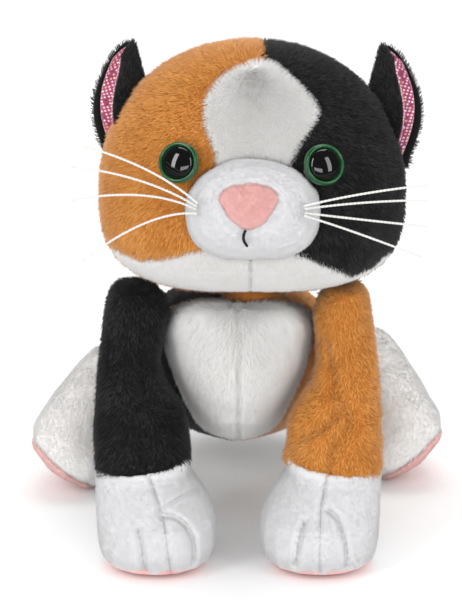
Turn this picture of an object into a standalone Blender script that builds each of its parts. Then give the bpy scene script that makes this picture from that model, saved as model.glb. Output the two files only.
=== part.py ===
"""Seated plush calico cat: fur-fabric panels over stuffing, safety eyes, cord whiskers.

Units are metres and +Z is up. The cat faces -Y, so its own left side is +X. The origin is on the
floor, under the middle of the cat's overall box. Every fabric panel is a shell cut out of one
closed skin (head, torso, leg, tail), and the stuffing is the same skin drawn inward.
"""
import math

import bmesh
import bpy
from mathutils import Matrix, Vector

MM = 0.001

# Fabric and clearances
FABRIC = 2.0 * MM            # thickness of a fur-fabric panel with its backing
GAP = 0.3 * MM               # clearance between neighbouring pieces
STUFFING_GAP = 0.6 * MM      # clearance between a panel and the stuffing behind it
STUFFING_INSET = FABRIC + STUFFING_GAP
TORSO_INSET = 3.4 * MM       # the torso's stuffing, wider where its skin bends sharply
MIDDLE_Y = 35.3 * MM         # middle of the overall box, in the frame the rows below are given in

# Head, in its own frame: X across, -Y out of the face, Z up, centred at eye height
HEAD_CENTRE = Vector((5.5, -8.0, 149.8)) * MM
HEAD_PITCH = math.radians(-18.0)   # the face looks up a little
HEAD_WIDE = 61.5 * MM        # half-width across the cheeks
HEAD_FRONT = 45.0 * MM       # from the centre to the face
HEAD_BACK = 47.0 * MM        # from the centre to the back of the head
HEAD_CHEEK_Z = -10.0 * MM    # height of the widest section
HEAD_UP = 59.5 * MM          # from the widest section to the crown
HEAD_DOWN = 42.0 * MM        # from the widest section to the chin
CROWN_POWER = 2.1
CHIN_POWER = 3.0
HEAD_RINGS = 14
HEAD_SIDES = 26
CROWN_SEAM_X = 4.5 * MM      # seam between the orange and the black face panel
CHIN_SEAM_X = -0.7 * MM
HEAD_SPLIT_Y = -1.0 * MM     # front and back panels meet here

# Muzzle, nose and eyes, in the head's frame
MUZZLE_CENTRE = Vector((0.0, 0.0, -20.2)) * MM
MUZZLE_WIDE = 26.0 * MM
MUZZLE_UP = 19.5 * MM
MUZZLE_DOWN = 19.5 * MM
MUZZLE_BULGE = 16.0 * MM
MUZZLE_FABRIC = 1.6 * MM
MUZZLE_SINK = 1.6 * MM
MUZZLE_SIDES = 22
NOSE_CENTRE = Vector((-1.8, 0.0, -18.4)) * MM
NOSE_WIDE = 11.2 * MM
NOSE_UP = 6.6 * MM
NOSE_DOWN = 9.4 * MM
NOSE_CUT = (-80.0 * MM, -46.0 * MM)   # depths between which the nose is let into the muzzle
MOUTH_STITCH = ((-2.9, -28.2), (-3.6, -30.0), (-3.4, -32.0), (-2.1, -33.9))
STITCH_RADIUS = 0.6 * MM
EYE_SPOTS = {"right": (-26.8 * MM, -2.7 * MM), "left": (25.5 * MM, -3.5 * MM)}
EYE_RADIUS = 7.7 * MM
PUPIL_RADIUS = 5.9 * MM
EYE_DOME = 4.6 * MM          # height of the clear dome above its rim
EYE_DISC = 0.9 * MM          # thickness of the green and of the black disc
EYE_STAND = 2.2 * MM         # the dome's rim above the fabric at its centre
POST_RADIUS = 2.0 * MM
POST_LENGTH = 12.0 * MM
WASHER_RADIUS = 6.0 * MM
WASHER_THICK = 1.4 * MM
WASHER_DEPTH = 3.4 * MM      # washer below the fabric's outer face

# Ears, in the head's frame
EAR_ROOTS = {"right": Vector((-55.5, 4.0, 4.0)) * MM, "left": Vector((59.8, 4.0, 2.5)) * MM}
EAR_HEIGHT = 46.0 * MM       # from inside the head to the tip
EAR_HALF_WIDE = 10.0 * MM
EAR_CUP = 20.0 * MM
EAR_LEAN = math.radians(2.0)
EAR_TURN = math.radians(65.0)      # the cup opens this far round from the face
EAR_LINING = 1.2 * MM
EAR_LAYER_GAP = 0.7 * MM     # between the lining and the fur, which bend differently
EAR_CLEAR = 2.2 * MM         # between the ear's lower edge and the head
EAR_SEAM = {"right": Vector((-48.5, 4.0, 21.0)) * MM, "left": Vector((51.5, 4.0, 20.0)) * MM}
EAR_SEAM_SLOPE = math.radians(60.0)

# Whiskers: white cord, four on each side
CORD_RADIUS = 0.5 * MM

# Torso, in the body's frame. Each row: height, front, back, half-width, how narrow the front is
TORSO_ROWS = (
    (11.0, 60.0, 84.0, 17.0, 0.05),
    (12.5, 51.0, 90.0, 24.0, 0.08),
    (18.0, 35.0, 96.0, 31.0, 0.15),
    (26.0, 12.0, 100.0, 35.5, 0.28),
    (34.0, -10.0, 100.5, 37.0, 0.36),
    (42.0, -28.0, 99.0, 37.6, 0.42),
    (52.0, -38.0, 95.0, 37.8, 0.42),
    (64.0, -44.0, 86.0, 38.0, 0.34),
    (76.0, -45.5, 72.0, 37.0, 0.24),
    (84.0, -43.0, 54.0, 34.0, 0.18),
    (88.0, -40.2, 30.0, 31.0, 0.08),
    (90.2, -38.2, 4.0, 28.0, 0.0),
    (92.8, -35.2, -11.0, 23.0, 0.0),
    (95.2, -31.5, -18.0, 16.0, 0.0),
)
TORSO_SIDES = 24
CHEST_OUTLINE = ((-25, 98), (-31, 86), (-33, 76), (-28, 64), (-21, 52), (-19, 36), (-17, 16),
                 (18, 16), (21, 36), (23, 52), (30, 64), (36, 76), (35, 86), (29, 98))
CHEST_BACK_Y = -14.0 * MM    # just behind the shoulder joints; the side panels take over here
BELLY_TOP = 21.0 * MM        # the underside panel ends here
PELLET_TOP = 32.0 * MM

# Neck: a low dome between the torso and the head
NECK_CENTRE = Vector((3.0, 8.0, 91.0)) * MM
NECK_RADIUS = 8.0 * MM
NECK_HEIGHT = 2.2 * MM
NOD_CENTRE = Vector((3.0, 8.0, 93.0)) * MM

# Front legs, for the cat's left; the right leg is its mirror image.
# Each row: height, inner edge, outer edge, front, back
LEG_ROWS = (
    (0.0, 13.5, 50.0, -69.0, -29.0),
    (2.5, 9.5, 54.0, -74.0, -25.0),
    (10.0, 7.5, 55.5, -77.5, -23.0),
    (19.0, 8.0, 56.0, -75.5, -22.0),
    (26.0, 12.0, 56.5, -67.0, -20.5),
    (33.0, 18.0, 57.0, -58.5, -19.0),
    (44.0, 17.8, 57.5, -53.0, -16.0),
    (55.0, 20.5, 57.0, -49.0, -12.0),
    (66.0, 29.0, 56.0, -43.0, -7.0),
    (76.0, 32.5, 54.5, -37.0, -3.0),
    (85.0, 33.5, 53.0, -34.0, -2.0),
    (92.5, 34.5, 52.0, -33.0, -3.0),
    (98.0, 37.5, 49.0, -29.0, -8.0),
)
LEG_SIDES = 16
SHOULDER_Y = -18.0 * MM
SHOULDER_Z = 82.0 * MM
HEM_Z = 37.5 * MM            # at the middle of the leg
HEM_TILT = math.radians(8.0)   # the hem rises toward the chest
SOLE_SHARE = 0.80            # sole patch against the paw's footprint

# Hind legs, for the cat's left: a thigh and a foot, rolled outward so the sole shows
THIGH_CENTRE = Vector((57.0, 60.0, 25.5)) * MM
THIGH_SIZE = {"left": Vector((14.0, 32.0, 35.5)) * MM, "right": Vector((14.0, 31.0, 29.5)) * MM}
FOOT_CENTRE = Vector((69.5, 25.0, 16.4)) * MM
FOOT_SIZE = Vector((24.0, 18.5, 13.5)) * MM      # across the toes, along the foot, thick
FOOT_ROLL = math.radians(36.0)
FOOT_TURN = math.radians(12.0)
FOOT_LIFT = math.radians(-14.0)
SOLE_DEPTH = 6.5 * MM        # the sole patch takes this much of the foot's thickness
HIND_SHIFT = {"left": Vector((0.0, 11.0, 0.0)) * MM, "right": Vector((0.0, 0.0, 0.0)) * MM}
HIND_VOXEL = 8.2 * MM
HIND_INSET = 3.6 * MM        # the stuffing below the skin, wider where the skin bends sharply

# Tail: lies on the floor behind the seat and curls to the cat's left
TAIL_PATH = ((0.0, 109.0, 15.0), (8.0, 124.0, 12.5), (24.0, 137.0, 10.5), (45.0, 139.0, 10.0),
             (60.0, 131.0, 9.8))
TAIL_RADIUS = 8.6 * MM
TAIL_SIDES = 8

COLOURS = {
    "orange_fur": (0.66, 0.25, 0.035, 0.85),
    "black_fur": (0.014, 0.014, 0.015, 0.85),
    "white_fur": (0.79, 0.77, 0.73, 0.85),
    "white_velboa": (0.74, 0.74, 0.75, 0.80),
    "pink_velboa": (0.83, 0.47, 0.45, 0.80),
    "foil_lining": (0.58, 0.10, 0.24, 0.35),
    "fibre_fill": (0.85, 0.85, 0.83, 0.95),
    "pellet_pouch": (0.70, 0.68, 0.62, 0.80),
    "green_plastic": (0.012, 0.11, 0.035, 0.20),
    "black_plastic": (0.006, 0.006, 0.007, 0.25),
    "clear_plastic": (0.90, 0.92, 0.92, 0.03),
    "white_cord": (0.82, 0.81, 0.78, 0.70),
    "black_thread": (0.01, 0.01, 0.01, 0.60),
}


def clear_scene():
    """Remove every object the file starts with."""
    for obj in list(bpy.data.objects):
        bpy.data.objects.remove(obj, do_unlink=True)


def material(name):
    """The Principled material of this name, made on first use."""
    found = bpy.data.materials.get(name)
    if found:
        return found
    red, green, blue, roughness = COLOURS[name]
    made = bpy.data.materials.new(name)
    made.use_nodes = True
    shader = made.node_tree.nodes["Principled BSDF"]
    shader.inputs["Base Color"].default_value = (red, green, blue, 1.0)
    shader.inputs["Roughness"].default_value = roughness
    shader.inputs["Metallic"].default_value = 0.0
    if name == "clear_plastic":
        shader.inputs["Transmission Weight"].default_value = 1.0
    made.diffuse_color = (red, green, blue, 1.0)
    return made


def make_object(name, mesh, finish, parent=None):
    """Put a mesh in the scene under a name, with one material."""
    obj = bpy.data.objects.new(name, mesh)
    bpy.context.scene.collection.objects.link(obj)
    if finish:
        mesh.materials.clear()
        mesh.materials.append(material(finish))
    mesh.shade_smooth()
    mesh.set_sharp_from_angle(angle=math.radians(40))
    obj.parent = parent
    return obj


def empty(name, location, rotation=(0.0, 0.0, 0.0), parent=None):
    """An empty that stands on a joint's axis or holds a frame."""
    obj = bpy.data.objects.new(name, None)
    bpy.context.scene.collection.objects.link(obj)
    obj.location = location
    obj.rotation_euler = rotation
    obj.parent = parent
    return obj


def mesh_from_rings(name, rings):
    """A closed solid through a row of point rings, with flat caps on the first and the last."""
    bm = bmesh.new()
    loops = [[bm.verts.new(point) for point in ring] for ring in rings]
    count = len(loops[0])
    for lower, upper in zip(loops, loops[1:]):
        for i in range(count):
            j = (i + 1) % count
            bm.faces.new((lower[i], lower[j], upper[j], upper[i]))
    bm.faces.new(loops[0][::-1])
    bm.faces.new(loops[-1])
    bmesh.ops.recalc_face_normals(bm, faces=bm.faces)
    mesh = bpy.data.meshes.new(name)
    bm.to_mesh(mesh)
    bm.free()
    return mesh


def prism(name, outline, near, far, axis="Y", parent=None):
    """A hidden cutter: a closed outline in XZ carried along Y, or one in XY carried along Z."""
    rings = []
    for depth in (near, far):
        if axis == "Y":
            rings.append([Vector((a, depth, b)) for a, b in outline])
        else:
            rings.append([Vector((a, b, depth)) for a, b in outline])
    cutter = make_object(name, mesh_from_rings(name, rings), None, parent)
    cutter.hide_render = True
    cutter.display_type = "WIRE"
    return cutter


def block(name, low, high, parent=None):
    """A hidden box cutter between two corners."""
    outline = [(low[0], low[2]), (high[0], low[2]), (high[0], high[2]), (low[0], high[2])]
    return prism(name, outline, low[1], high[1], parent=parent)


def cut(obj, cutter, operation):
    """Add one exact Boolean to an object."""
    step = obj.modifiers.new(operation.lower(), "BOOLEAN")
    step.operation = operation
    step.solver = "EXACT"
    step.object = cutter


def shell(name, skin, finish, parent=None, thickness=FABRIC):
    """The skin thickened inward: one panel before it is cut to its outline."""
    obj = make_object(name, skin.copy(), finish, parent)
    step = obj.modifiers.new("fabric", "SOLIDIFY")
    step.thickness = thickness
    step.offset = -1.0
    step.use_even_offset = True
    return obj


def core(name, skin, finish, parent=None, inset=STUFFING_INSET):
    """The skin drawn inward: the stuffing behind the panels."""
    obj = make_object(name, skin.copy(), finish, parent)
    step = obj.modifiers.new("inset", "DISPLACE")
    step.strength = -inset
    step.mid_level = 0.0
    return obj


def grown(outline, distance):
    """The outline moved outward by a distance, for an anticlockwise list of points."""
    result = []
    count = len(outline)
    for i, (x, z) in enumerate(outline):
        before = Vector(outline[i - 1])
        after = Vector(outline[(i + 1) % count])
        along = (after - before).normalized()
        result.append((x + along.y * distance, z - along.x * distance))
    return result


def rounded(corners, steps=4):
    """A smooth closed outline through a few corners (Catmull-Rom)."""
    points = []
    count = len(corners)
    for i in range(count):
        p0, p1, p2, p3 = (Vector(corners[(i + k) % count]) for k in (-1, 0, 1, 2))
        for s in range(steps):
            t = s / steps
            point = 0.5 * ((2 * p1) + (p2 - p0) * t + (2 * p0 - 5 * p1 + 4 * p2 - p3) * t * t
                           + (3 * p1 - p0 - 3 * p2 + p3) * t ** 3)
            points.append((point.x, point.y))
    return points


def scaled(points, unit=MM):
    """Points given in millimetres, in metres."""
    return [tuple(value * unit for value in point) for point in points]


# Head -------------------------------------------------------------------------------------------

def head_share(z):
    """Width of the head at a height, as a share of its greatest width."""
    if z > HEAD_CHEEK_Z:
        ratio, power = (z - HEAD_CHEEK_Z) / HEAD_UP, CROWN_POWER
    else:
        ratio, power = (HEAD_CHEEK_Z - z) / HEAD_DOWN, CHIN_POWER
    return max(0.0, 1.0 - ratio ** power) ** (1.0 / power)


def head_skin():
    """The head as level rings between the chin and the crown."""
    rings = []
    for k in range(HEAD_RINGS):
        turn = math.radians(-83.0 + 167.0 * k / (HEAD_RINGS - 1))
        reach = HEAD_UP if turn > 0 else HEAD_DOWN
        z = HEAD_CHEEK_Z + reach * math.sin(turn) * (1.0 if turn > 0 else 0.995)
        share = head_share(z)
        ring = []
        for i in range(HEAD_SIDES):
            angle = 2 * math.pi * i / HEAD_SIDES
            depth = HEAD_BACK if math.sin(angle) > 0 else HEAD_FRONT
            ring.append(Vector((HEAD_WIDE * share * math.cos(angle),
                                depth * share * math.sin(angle), z)))
        rings.append(ring)
    return mesh_from_rings("head_skin", rings)


def face_y(x, z):
    """Depth of the face's surface at a point of the face."""
    share = head_share(z)
    return -HEAD_FRONT * math.sqrt(max(0.0, share * share - (x / HEAD_WIDE) ** 2))


def muzzle_point(angle, shrink=0.0):
    """A point of the muzzle's outline: round above, two lobes below."""
    wide = MUZZLE_WIDE - shrink
    tall = (MUZZLE_UP if math.sin(angle) > 0 else MUZZLE_DOWN) - shrink
    flat = 0.82 if math.sin(angle) > 0 else 0.72
    x = wide * math.copysign(abs(math.cos(angle)) ** 0.9, math.cos(angle))
    z = tall * math.copysign(abs(math.sin(angle)) ** flat, math.sin(angle))
    lobe = 1.6 * MM * math.exp(-(x / (5.0 * MM)) ** 2) if z < 0 else 0.0
    return MUZZLE_CENTRE.x + x, MUZZLE_CENTRE.z + z + lobe


def muzzle_surface(angle, rise, shrink=0.0, sink=0.0):
    """A point of the muzzle dome: rise 0 on its outline, 1 at its foremost point."""
    x, z = muzzle_point(angle, shrink)
    close = math.cos(rise * math.pi / 2) ** 0.75
    lift = math.sin(rise * math.pi / 2) ** 0.9
    px = MUZZLE_CENTRE.x + (x - MUZZLE_CENTRE.x) * close
    pz = MUZZLE_CENTRE.z + (z - MUZZLE_CENTRE.z) * close
    base = face_y(x, z) * close + face_y(0.0, MUZZLE_CENTRE.z) * (1.0 - close)
    return Vector((px, base + sink - (MUZZLE_BULGE - shrink) * lift, pz))


def muzzle_skin(shrink, sink, sides=MUZZLE_SIDES, steps=5):
    """The muzzle as a dome that starts a little inside the face."""
    rings = [[muzzle_surface(2 * math.pi * i / sides, 0.0, shrink, sink) for i in range(sides)]]
    for k in range(steps):
        rise = 0.93 * k / (steps - 1)
        rings.append([muzzle_surface(2 * math.pi * i / sides, rise, shrink)
                      for i in range(sides)])
    return mesh_from_rings("muzzle_skin", rings)


def nose_outline(grow=0.0):
    """A triangle with round corners, point down."""
    corners = [(0.0, -1.0), (0.62, -0.42), (1.0, 0.36), (0.72, 0.92), (0.0, 1.0),
               (-0.72, 0.92), (-1.0, 0.36), (-0.62, -0.42)]
    points = []
    for x, z in rounded(corners, 3):
        tall = NOSE_UP if z > 0 else NOSE_DOWN
        points.append((NOSE_CENTRE.x + x * NOSE_WIDE, NOSE_CENTRE.z + z * tall))
    return grown(points, grow)


def make_muzzle(head):
    """Muzzle cover with the nose let into it, its stuffing, and the stitched mouth."""
    cover = make_object("muzzle_cover", muzzle_skin(0.0, MUZZLE_SINK), "white_velboa", head)
    hollow = make_object("muzzle_hollow", muzzle_skin(MUZZLE_FABRIC, MUZZLE_SINK + 1.0 * MM), None,
                         head)
    hollow.hide_render = True
    hollow.display_type = "WIRE"
    cut(cover, hollow, "DIFFERENCE")
    cut(cover, prism("nose_hole", nose_outline(GAP), *NOSE_CUT, parent=head), "DIFFERENCE")

    nose = make_object("nose_patch", muzzle_skin(0.0, MUZZLE_SINK), "pink_velboa", head)
    cut(nose, hollow, "DIFFERENCE")
    cut(nose, prism("nose_edge", nose_outline(), *NOSE_CUT, parent=head), "INTERSECT")

    filling = make_object("muzzle_stuffing",
                          muzzle_skin(MUZZLE_FABRIC + STUFFING_GAP, MUZZLE_SINK), "fibre_fill",
                          head)
    behind = core("muzzle_back", head_skin(), None, head, FABRIC - 2 * GAP)
    behind.hide_render = True
    behind.display_type = "WIRE"
    cut(filling, behind, "DIFFERENCE")
    cut(cover, behind, "DIFFERENCE")

    path = []
    for x, z in scaled(MOUTH_STITCH):
        path.append(Vector((x, muzzle_depth(x, z) - 2 * STITCH_RADIUS, z)))
    make_object("mouth_stitch", cord_mesh("mouth_stitch", path, STITCH_RADIUS, 8), "black_thread",
                head)


def muzzle_depth(x, z):
    """Depth of the muzzle's surface at a point inside its outline, by bisection on the rise."""
    angle = math.atan2((z - MUZZLE_CENTRE.z) / MUZZLE_DOWN, (x - MUZZLE_CENTRE.x) / MUZZLE_WIDE)
    wanted = math.hypot(x - MUZZLE_CENTRE.x, z - MUZZLE_CENTRE.z)
    low, high = 0.0, 1.0
    for _ in range(30):
        rise = (low + high) / 2
        point = muzzle_surface(angle, rise)
        reached = math.hypot(point.x - MUZZLE_CENTRE.x, point.z - MUZZLE_CENTRE.z)
        low, high = (rise, high) if reached > wanted else (low, rise)
    return muzzle_surface(angle, (low + high) / 2).y


def cord_mesh(name, path, radius, sides=6):
    """A round cord along a path, with closed ends."""
    rings = []
    for i, point in enumerate(path):
        ahead = path[min(i + 1, len(path) - 1)] - path[max(i - 1, 0)]
        side = ahead.cross(Vector((0, 1, 0))).normalized()
        other = ahead.cross(side).normalized()
        rings.append([point + radius * (side * math.cos(2 * math.pi * k / sides)
                                        + other * math.sin(2 * math.pi * k / sides))
                      for k in range(sides)])
    return mesh_from_rings(name, rings)


BLAZE_OUTLINE = rounded(scaled([(-12.5, -9.0), (13.5, -9.0), (15.0, -1.5), (20.0, 8.5),
                                (26.0, 18.5), (20.0, 27.5), (11.7, 35.5), (4.4, 39.6),
                                (-6.0, 36.0), (-13.2, 31.5), (-18.5, 23.0), (-18.3, 11.0),
                                (-14.6, 1.5)]), 3)
CHIN_LINE = scaled([(-75.0, -30.0), (-57.0, -33.6), (-45.0, -39.8), (-33.0, -39.3),
                    (-20.5, -36.0), (0.0, -35.0), (21.0, -39.0), (30.0, -42.5), (40.0, -45.8),
                    (48.0, -42.0), (54.0, -36.0), (75.0, -28.0)])


def chin_region(offset):
    """Everything below the line where the chin panels start."""
    top = [(x, z - offset) for x, z in CHIN_LINE]
    return [(-75 * MM, -70 * MM), (75 * MM, -70 * MM)] + top[::-1]


def make_head(head):
    """Head stuffing and the panels of the face, the chin and the back of the head."""
    skin = head_skin()
    far = 90.0 * MM
    split = HEAD_SPLIT_Y
    muzzle = [muzzle_point(2 * math.pi * i / MUZZLE_SIDES) for i in range(MUZZLE_SIDES)]
    muzzle_hole = prism("muzzle_hole", grown(muzzle, GAP), -far, 0.0, parent=head)
    blaze_hole = prism("blaze_hole", grown(BLAZE_OUTLINE, GAP), -far, 0.0, parent=head)
    chin_hole = prism("chin_hole", chin_region(-GAP), -far, 0.0, parent=head)

    seams = {"face_panel_orange": (-far, CROWN_SEAM_X - GAP / 2),
             "face_panel_black": (CROWN_SEAM_X + GAP / 2, far)}
    finishes = {"face_panel_orange": "orange_fur", "face_panel_black": "black_fur"}
    for name, (low_x, high_x) in seams.items():
        panel = shell(name, skin, finishes[name], head)
        half = block(name + "_half", (low_x, -far, -far), (high_x, split, far), head)
        cut(panel, half, "INTERSECT")
        for hole in (muzzle_hole, blaze_hole, chin_hole):
            cut(panel, hole, "DIFFERENCE")

    blaze = shell("forehead_blaze", skin, "white_fur", head)
    cut(blaze, prism("blaze_edge", BLAZE_OUTLINE, -far, -2 * MM, parent=head), "INTERSECT")
    cut(blaze, muzzle_hole, "DIFFERENCE")

    for name, low_x, high_x in (("chin_panel_right", -far, CHIN_SEAM_X - GAP / 2),
                                ("chin_panel_left", CHIN_SEAM_X + GAP / 2, far)):
        panel = shell(name, skin, "white_fur", head)
        cut(panel, prism(name + "_edge", chin_region(0.0), -far, split, parent=head), "INTERSECT")
        cut(panel, block(name + "_half", (low_x, -far, -far), (high_x, split, far), head),
            "INTERSECT")
        cut(panel, muzzle_hole, "DIFFERENCE")

    for name, low_x, high_x in (("back_of_head_right", -far, CROWN_SEAM_X - GAP / 2),
                                ("back_of_head_left", CROWN_SEAM_X + GAP / 2, far)):
        panel = shell(name, skin, "orange_fur", head)
        cut(panel, block(name + "_half", (low_x, split + GAP, -far), (high_x, far, far), head),
            "INTERSECT")

    return core("head_stuffing", skin, "fibre_fill", head)


def disc_solid(name, radius, low, high, sides=18, dome=0.0, steps=4):
    """A disc along Z, from low to high, with an optional dome above it."""
    def circle(r, z):
        return [Vector((r * math.cos(2 * math.pi * i / sides),
                        r * math.sin(2 * math.pi * i / sides), z)) for i in range(sides)]
    rings = [circle(radius, low), circle(radius, high)]
    for k in range(1, steps + 1 if dome else 1):
        turn = math.radians(80.0) * k / steps
        rings.append(circle(radius * math.cos(turn), high + dome * math.sin(turn)))
    return mesh_from_rings(name, rings)


def make_eyes(head, stuffing):
    """Safety eyes: clear dome, green disc, black disc, post through the panel, and washer."""
    panels = {"right": "face_panel_orange", "left": "face_panel_black"}
    for side, (x, z) in EYE_SPOTS.items():
        step = 0.5 * MM
        here = Vector((x, face_y(x, z), z))
        along_x = Vector((x + step, face_y(x + step, z), z)) - here
        along_z = Vector((x, face_y(x, z + step), z + step)) - here
        outward = along_x.cross(along_z).normalized()
        frame = outward.to_track_quat("Z", "Y").to_euler()
        spot = empty("eye_frame_" + side, here, frame, head)
        back = EYE_STAND
        make_object("eye_disc_green_" + side,
                    disc_solid("disc", EYE_RADIUS, back, back + EYE_DISC), "green_plastic", spot)
        black = back + EYE_DISC + GAP
        make_object("eye_pupil_" + side,
                    disc_solid("pupil", PUPIL_RADIUS, black, black + EYE_DISC), "black_plastic",
                    spot)
        clear = black + EYE_DISC + GAP
        make_object("eye_dome_" + side,
                    disc_solid("dome", EYE_RADIUS, clear, clear + 0.4 * MM, dome=EYE_DOME),
                    "clear_plastic", spot)
        make_object("eye_post_" + side,
                    disc_solid("post", POST_RADIUS, back - GAP - POST_LENGTH, back - GAP, 12),
                    "black_plastic", spot)
        washer_top = -WASHER_DEPTH
        washer = make_object("eye_washer_" + side,
                             disc_solid("washer", WASHER_RADIUS, washer_top - WASHER_THICK,
                                        washer_top), "black_plastic", spot)
        sleeve = make_object("post_hole_" + side,
                             disc_solid("hole", POST_RADIUS + GAP, -2 * POST_LENGTH,
                                        POST_LENGTH, 12), None, spot)
        pocket = make_object("washer_pocket_" + side,
                             disc_solid("pocket", WASHER_RADIUS + GAP,
                                        washer_top - WASHER_THICK - GAP, POST_LENGTH), None, spot)
        well = make_object("post_well_" + side,
                           disc_solid("well", POST_RADIUS + GAP, -POST_LENGTH - 2 * MM,
                                      POST_LENGTH, 12), None, spot)
        relief = make_object("rim_relief_" + side,
                             disc_solid("relief", EYE_RADIUS + GAP, 0.0, POST_LENGTH), None, spot)
        for cutter in (sleeve, pocket, well, relief):
            cutter.hide_render = True
            cutter.display_type = "WIRE"
        cut(washer, sleeve, "DIFFERENCE")
        cut(bpy.data.objects[panels[side]], sleeve, "DIFFERENCE")
        cut(stuffing, pocket, "DIFFERENCE")
        cut(stuffing, well, "DIFFERENCE")
        cut(bpy.data.objects["muzzle_cover"], relief, "DIFFERENCE")


def ear_mesh(inner, outer, rows=7, sides=6):
    """A cupped leaf between two offsets from its lining, in the ear's frame.

    X runs across the ear, Z up to the tip and -Y is the open side of the cup.
    """
    rings = []
    for k in range(rows):
        up = 0.96 * k / (rows - 1)
        wide = EAR_HALF_WIDE * math.sin(math.pi * (0.2 + 0.8 * up)) ** 0.8
        cup = EAR_CUP * (0.85 - 0.6 * up * up)
        ring = []
        for offset, order in ((outer, range(sides + 1)), (inner, range(sides, -1, -1))):
            for i in order:
                turn = math.radians(-82.0 + 164.0 * i / sides)
                normal = Vector((cup * math.sin(turn), wide * math.cos(turn), 0.0)).normalized()
                point = Vector((wide * math.sin(turn), cup * math.cos(turn), EAR_HEIGHT * up))
                ring.append(point + normal * offset)
        rings.append(ring)
    return mesh_from_rings("ear", rings)


def make_ears(head):
    """Each ear: black fur outside, foil-dotted lining inside, hinged at its seam on the head."""
    clear = core("ear_clearance", head_skin(), None, head, -EAR_CLEAR)
    clear.hide_render = True
    clear.display_type = "WIRE"
    fur = EAR_LINING + EAR_LAYER_GAP
    for side, root in EAR_ROOTS.items():
        sign = 1.0 if side == "left" else -1.0
        seam = (0.0, sign * EAR_SEAM_SLOPE, 0.0)
        hinge = empty("ear_hinge_" + side, EAR_SEAM[side], seam, head)
        upward = Vector((sign * math.sin(EAR_LEAN), 0.0, math.cos(EAR_LEAN)))
        opening = Vector((sign * math.sin(EAR_TURN), -math.cos(EAR_TURN), 0.0))
        opening = (opening - opening.dot(upward) * upward).normalized()
        across = upward.cross(opening)
        cup = Matrix((across, -opening, upward)).transposed().to_4x4()
        local = (Matrix.Translation(EAR_SEAM[side]) @ Matrix.Rotation(seam[1], 4, "Y")).inverted()
        placed = local @ Matrix.Translation(root) @ cup
        for name, finish, inner, outer in (
                ("ear_lining_", "foil_lining", 0.0, EAR_LINING),
                ("ear_back_", "black_fur", fur, fur + FABRIC)):
            mesh = ear_mesh(inner, outer)
            mesh.transform(placed)
            piece = make_object(name + side, mesh, finish, hinge)
            cut(piece, clear, "DIFFERENCE")


WHISKERS = {
    "right_1": ((-20.5, -18.3), (-37.0, -4.0), (-64.0, 3.6)),
    "right_2": ((-20.9, -19.3), (-40.0, -7.5), (-68.5, -4.0)),
    "right_3": ((-21.2, -20.3), (-39.0, -11.5), (-68.5, -16.6)),
    "right_4": ((-20.9, -21.8), (-39.0, -20.5), (-64.0, -39.5)),
    "left_1": ((18.7, -19.2), (40.0, -14.0), (65.0, -11.2)),
    "left_2": ((19.0, -20.2), (43.0, -17.0), (65.0, -16.8)),
    "left_3": ((19.0, -21.7), (38.0, -24.0), (65.0, -26.5)),
    "left_4": ((18.7, -22.7), (35.0, -27.5), (63.0, -38.0)),
}


def make_whiskers(head):
    """Cord whiskers that spread from one spot on each side of the muzzle."""
    for name, (root, bend, tip) in WHISKERS.items():
        x, z = scaled([root])[0]
        start = Vector((x, muzzle_depth(x, z) - 1.1 * MM, z))
        order = {"1": 3.0, "2": 1.4, "3": 0.2, "4": 1.0}[name[-1]] * MM
        start.y -= order * 0.45
        middle = Vector((bend[0] * MM, start.y + 1.0 * MM - order, bend[1] * MM))
        end = Vector((tip[0] * MM, start.y + 9.0 * MM - order, tip[1] * MM))
        path = []
        for k in range(8):
            t = k / 7
            path.append(start * (1 - t) ** 2 + middle * 2 * t * (1 - t) + end * t * t)
        make_object("whisker_" + name, cord_mesh("whisker", path, CORD_RADIUS), "white_cord", head)


# Torso ------------------------------------------------------------------------------------------

def torso_skin():
    """The torso as level rings; its front is narrower than its back."""
    rings = []
    for z, front, back, half, narrow in TORSO_ROWS:
        middle, reach = (front + back) / 2, (back - front) / 2
        ring = []
        for i in range(TORSO_SIDES):
            angle = 2 * math.pi * i / TORSO_SIDES
            x = half * math.cos(angle) * (1.0 + narrow * math.sin(angle))
            ring.append(Vector((x, middle + reach * math.sin(angle), z)) * MM)
        rings.append(ring)
    return mesh_from_rings("torso_skin", rings)


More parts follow.
